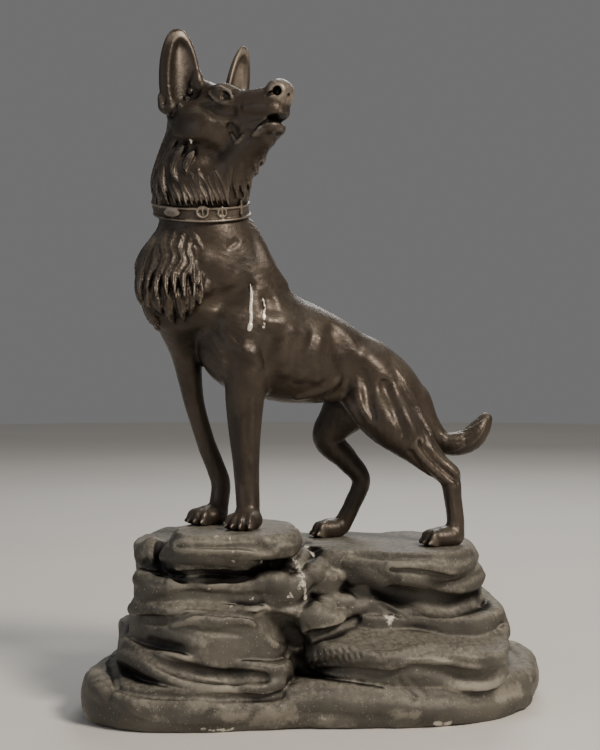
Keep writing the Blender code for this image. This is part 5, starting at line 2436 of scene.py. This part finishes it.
@dataclass(frozen=True)
class BrownPatina:
    """Spelter under a brown patina, worn to the grey-beige metal on its high places.

    Cast zinc keeps a satin gloss. Its high places and the nose are paled to the worn colour, partly
    metal rubbed bare and partly painted highlight. Closed-in places are darkened to almost black,
    partly patina where hands and cloths never reach and partly painted shade in recesses and under
    overhangs. Dust lies grey on what faces up.
    """

    # Almost black for closed-in places: dark patina there and painted shade.
    recess_patina_and_shade: str = "#17100b"
    shade: str = "#332b23"
    brown: str = "#483e34"
    # The worn colour: metal rubbed bare, and a painted highlight on edges and the nose.
    worn: str = "#93887b"
    dust: str = "#8b8376"
    pale: str = "#e2ddd0"
    patch_size: float = 0.045
    dust_size: float = 0.02
    grain_size: float = 0.0035
    pore_size: float = 0.0012
    pore_depth: float = 0.0004
    metallic: float = 0.45
    roughness: tuple[float, float] = (0.34, 0.5)

    def build(self) -> bpy.types.Material:
        """Make the material.

        Returns:
            The material.
        """
        sheet = Sheet("brown_patinated_cast_spelter")
        hollow, proud = sheet.attribute("hollow"), sheet.attribute("proud")
        patches = sheet.noise(self.patch_size, 5.0)
        fine = sheet.noise(self.grain_size, 4.0)
        base = sheet.mixed(sheet.ranged(patches, 0.35, 0.65), linear(self.shade), linear(self.brown))
        # Paler on thin edges and the nose: rubbed metal and painted highlight.
        wear_and_highlight = sheet.summed(proud, sheet.summed(sheet.summed(fine, 0.5, "SUBTRACT"), 0.2, "MULTIPLY"))
        base = sheet.mixed(sheet.ranged(wear_and_highlight, 0.14, 0.65, 0.0, 0.85), base, linear(self.worn))
        dusty = sheet.summed(
            sheet.ranged(sheet.rise(), 0.2, 1.0),
            sheet.ranged(sheet.noise(self.dust_size, 5.0), 0.2, 0.8),
            "MULTIPLY",
        )
        base = sheet.mixed(sheet.summed(dusty, 0.5, "MULTIPLY"), base, linear(self.dust))
        # Painted shade: closed-in places are darkened towards almost black, partly the patina of recesses.
        base = sheet.mixed(sheet.ranged(hollow, 0.26, 0.62), base, linear(self.recess_patina_and_shade))
        edge = sheet.summed(sheet.attribute("white_run"), sheet.summed(fine, 0.25, "MULTIPLY"))
        base = sheet.mixed(sheet.ranged(edge, 0.30, 0.12), base, linear(self.pale))
        rough = sheet.ranged(fine, 0.3, 0.7, *self.roughness)
        pores = sheet.noise(self.pore_size, 3.0)
        bump = sheet.node("ShaderNodeBump", None, Strength=0.35, Distance=self.pore_depth, Height=pores)
        return sheet.covered(base, rough, Metallic=self.metallic, Normal=bump.outputs[0])


@dataclass(frozen=True)
class GreyPatina:
    """Spelter under a dull grey-olive patina: dusty on its tops, scuffed pale in places, its edges paled by
    wear and painted highlight, its closed-in places darkened by dark patina and painted shade.
    """

    # Almost black for closed-in places: dark patina in cracks and painted shade under lips and between slabs.
    recess_patina_and_shade: str = "#16110c"
    shade: str = "#45413a"
    grey: str = "#5b574e"
    beige: str = "#8e887b"
    chip: str = "#a0998a"
    pale: str = "#dcd6c9"
    patch_size: float = 0.05
    crumb_size: float = 0.006
    grain_size: float = 0.004
    speck_size: float = 0.0013
    grain_depth: float = 0.0008
    metallic: float = 0.2
    roughness: float = 0.62

    def build(self) -> bpy.types.Material:
        """Make the material.

        Returns:
            The material.
        """
        sheet = Sheet("grey_patinated_cast_spelter")
        hollow, proud = sheet.attribute("hollow"), sheet.attribute("proud")
        patches = sheet.noise(self.patch_size, 6.0)
        fine = sheet.noise(self.grain_size, 5.0, 0.65)
        base = sheet.mixed(sheet.ranged(patches, 0.35, 0.65), linear(self.shade), linear(self.grey))
        # Beige on proud edges: rubbed wear and painted highlight.
        wear_and_highlight = sheet.summed(proud, sheet.summed(sheet.summed(fine, 0.5, "SUBTRACT"), 0.6, "MULTIPLY"))
        base = sheet.mixed(sheet.ranged(wear_and_highlight, 0.25, 0.7, 0.0, 0.9), base, linear(self.beige))
        dusty = sheet.summed(sheet.ranged(sheet.rise(), 0.1, 0.9), sheet.ranged(fine, 0.25, 0.7), "MULTIPLY")
        base = sheet.mixed(sheet.summed(dusty, 0.7, "MULTIPLY"), base, linear(self.beige))
        specks = sheet.ranged(sheet.noise(self.speck_size, 1.0, 0.4), 0.69, 0.77)
        base = sheet.mixed(sheet.summed(specks, 0.35, "MULTIPLY"), base, linear(self.pale))
        crumbs = sheet.summed(sheet.noise(self.crumb_size, 4.0, 0.7), 4.0, "MULTIPLY")
        chipped = sheet.summed(sheet.attribute("chip"), crumbs)
        base = sheet.mixed(sheet.ranged(chipped, 2.8, 1.2, 0.0, 0.5), base, linear(self.chip))
        # Painted shade: undercuts, cracks and gaps between slabs are darkened towards almost black, partly
        # dark patina.
        base = sheet.mixed(sheet.ranged(hollow, 0.30, 0.72), base, linear(self.recess_patina_and_shade))
        edge = sheet.summed(sheet.attribute("white_run"), sheet.summed(fine, 2.2, "MULTIPLY"))
        base = sheet.mixed(sheet.ranged(edge, 1.15, 0.75, 0.0, 0.85), base, linear(self.pale))
        bump = sheet.node("ShaderNodeBump", None, Strength=0.5, Distance=self.grain_depth, Height=fine)
        return sheet.covered(base, self.roughness, Metallic=self.metallic, Normal=bump.outputs[0])


# Studio


@dataclass
class Studio:
    """Pale floor, soft light and the photograph's camera."""

    floor_radius: float = 4.0
    floor_corners: int = 96
    floor_tones: tuple[str, str] = ("#d9d6d0", "#dedbd5")

    def camera(self) -> None:
        """Place the camera where the photograph was taken from."""
        data = bpy.data.cameras.new("camera")
        data.sensor_fit = "VERTICAL"
        data.sensor_height = VIEW.long_side
        data.lens = VIEW.lens
        item = bpy.data.objects.new("camera", data)
        item.location = VIEW.place
        item.rotation_euler = (np.pi / 2 - VIEW.drop, 0.0, 0.0)
        bpy.context.scene.collection.objects.link(item)
        bpy.context.scene.camera = item

    def lamp(self, name: str, place: Spot, size: float, power: float, tint: str) -> None:
        """Hang a square soft light that faces the statue.

        Args:
            name: The lamp's name.
            place: In metres.
            size: Its side in metres.
            power: In watts.
            tint: Its colour as a hex code.
        """
        data = bpy.data.lights.new(name, "AREA")
        data.shape = "SQUARE"
        data.size = size
        data.energy = power
        data.color = linear(tint)[:3]
        item = bpy.data.objects.new(name, data)
        item.location = place
        item.rotation_euler = (Vector((0, 0, 0.28)) - Vector(place)).to_track_quat("-Z", "Y").to_euler()
        bpy.context.scene.collection.objects.link(item)

    def floor(self) -> bpy.types.Object:
        """Lay a round floor: rings of knots about the middle.

        Returns:
            The floor.
        """
        count = self.floor_corners
        angle = np.linspace(0, 2 * np.pi, count, endpoint=False)
        rim = np.stack([np.cos(angle), np.sin(angle), np.zeros(count)], axis=1) * self.floor_radius
        knots = np.vstack([rim * 0.25, rim])
        k = np.arange(count)
        ring = np.stack([k, count + k, count + (k + 1) % count, (k + 1) % count], axis=1)
        mesh = bpy.data.meshes.new("floor")
        mesh.from_pydata(knots.tolist(), [], [*ring.tolist(), k.tolist()])
        item = bpy.data.objects.new("floor", mesh)
        bpy.context.scene.collection.objects.link(item)
        sheet = Sheet("pale_matt_floor")
        patches = sheet.ranged(sheet.noise(0.6, 2.0), 0.3, 0.7)
        tone = sheet.mixed(patches, *(linear(tone) for tone in self.floor_tones))
        mesh.materials.append(sheet.covered(tone, 0.85))
        return item

    def build(self) -> None:
        """Set up the camera, the lights, the air and the floor."""
        self.camera()
        self.lamp("key", (1.35, -1.45, 1.75), 0.6, 66.0, "#fff4e6")
        self.lamp("fill", (-1.6, -1.2, 0.7), 1.4, 5.0, "#e9f0ff")
        self.lamp("rim", (0.3, 1.6, 1.6), 1.0, 16.0, "#ffffff")
        world = bpy.data.worlds.new("air")
        world.use_nodes = True
        air = world.node_tree.nodes["Background"]
        air.inputs["Color"].default_value = linear("#d8d8d8")
        air.inputs["Strength"].default_value = 0.24
        bpy.context.scene.world = world
        self.floor()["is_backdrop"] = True


def main() -> None:
    """Build the studio, the rock and the dog, and hand each piece to the frame."""
    logging.basicConfig(level=logging.INFO, format="%(name)s: %(message)s")
    Studio().build()
    rock = Rock().build()
    rock.data.materials.clear()
    rock.data.materials.append(GreyPatina().build())
    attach(rock, "root")
    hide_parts("rock_base")
    brown = BrownPatina().build()
    for item in Dog().build():
        item.data.materials.clear()
        item.data.materials.append(brown)
        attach(item, "root")
        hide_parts("dog")
    [[[float(v) for v in corner] for corner in box] for box in (CAD_BOX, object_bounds())]


if __name__ == "__main__":
    main()
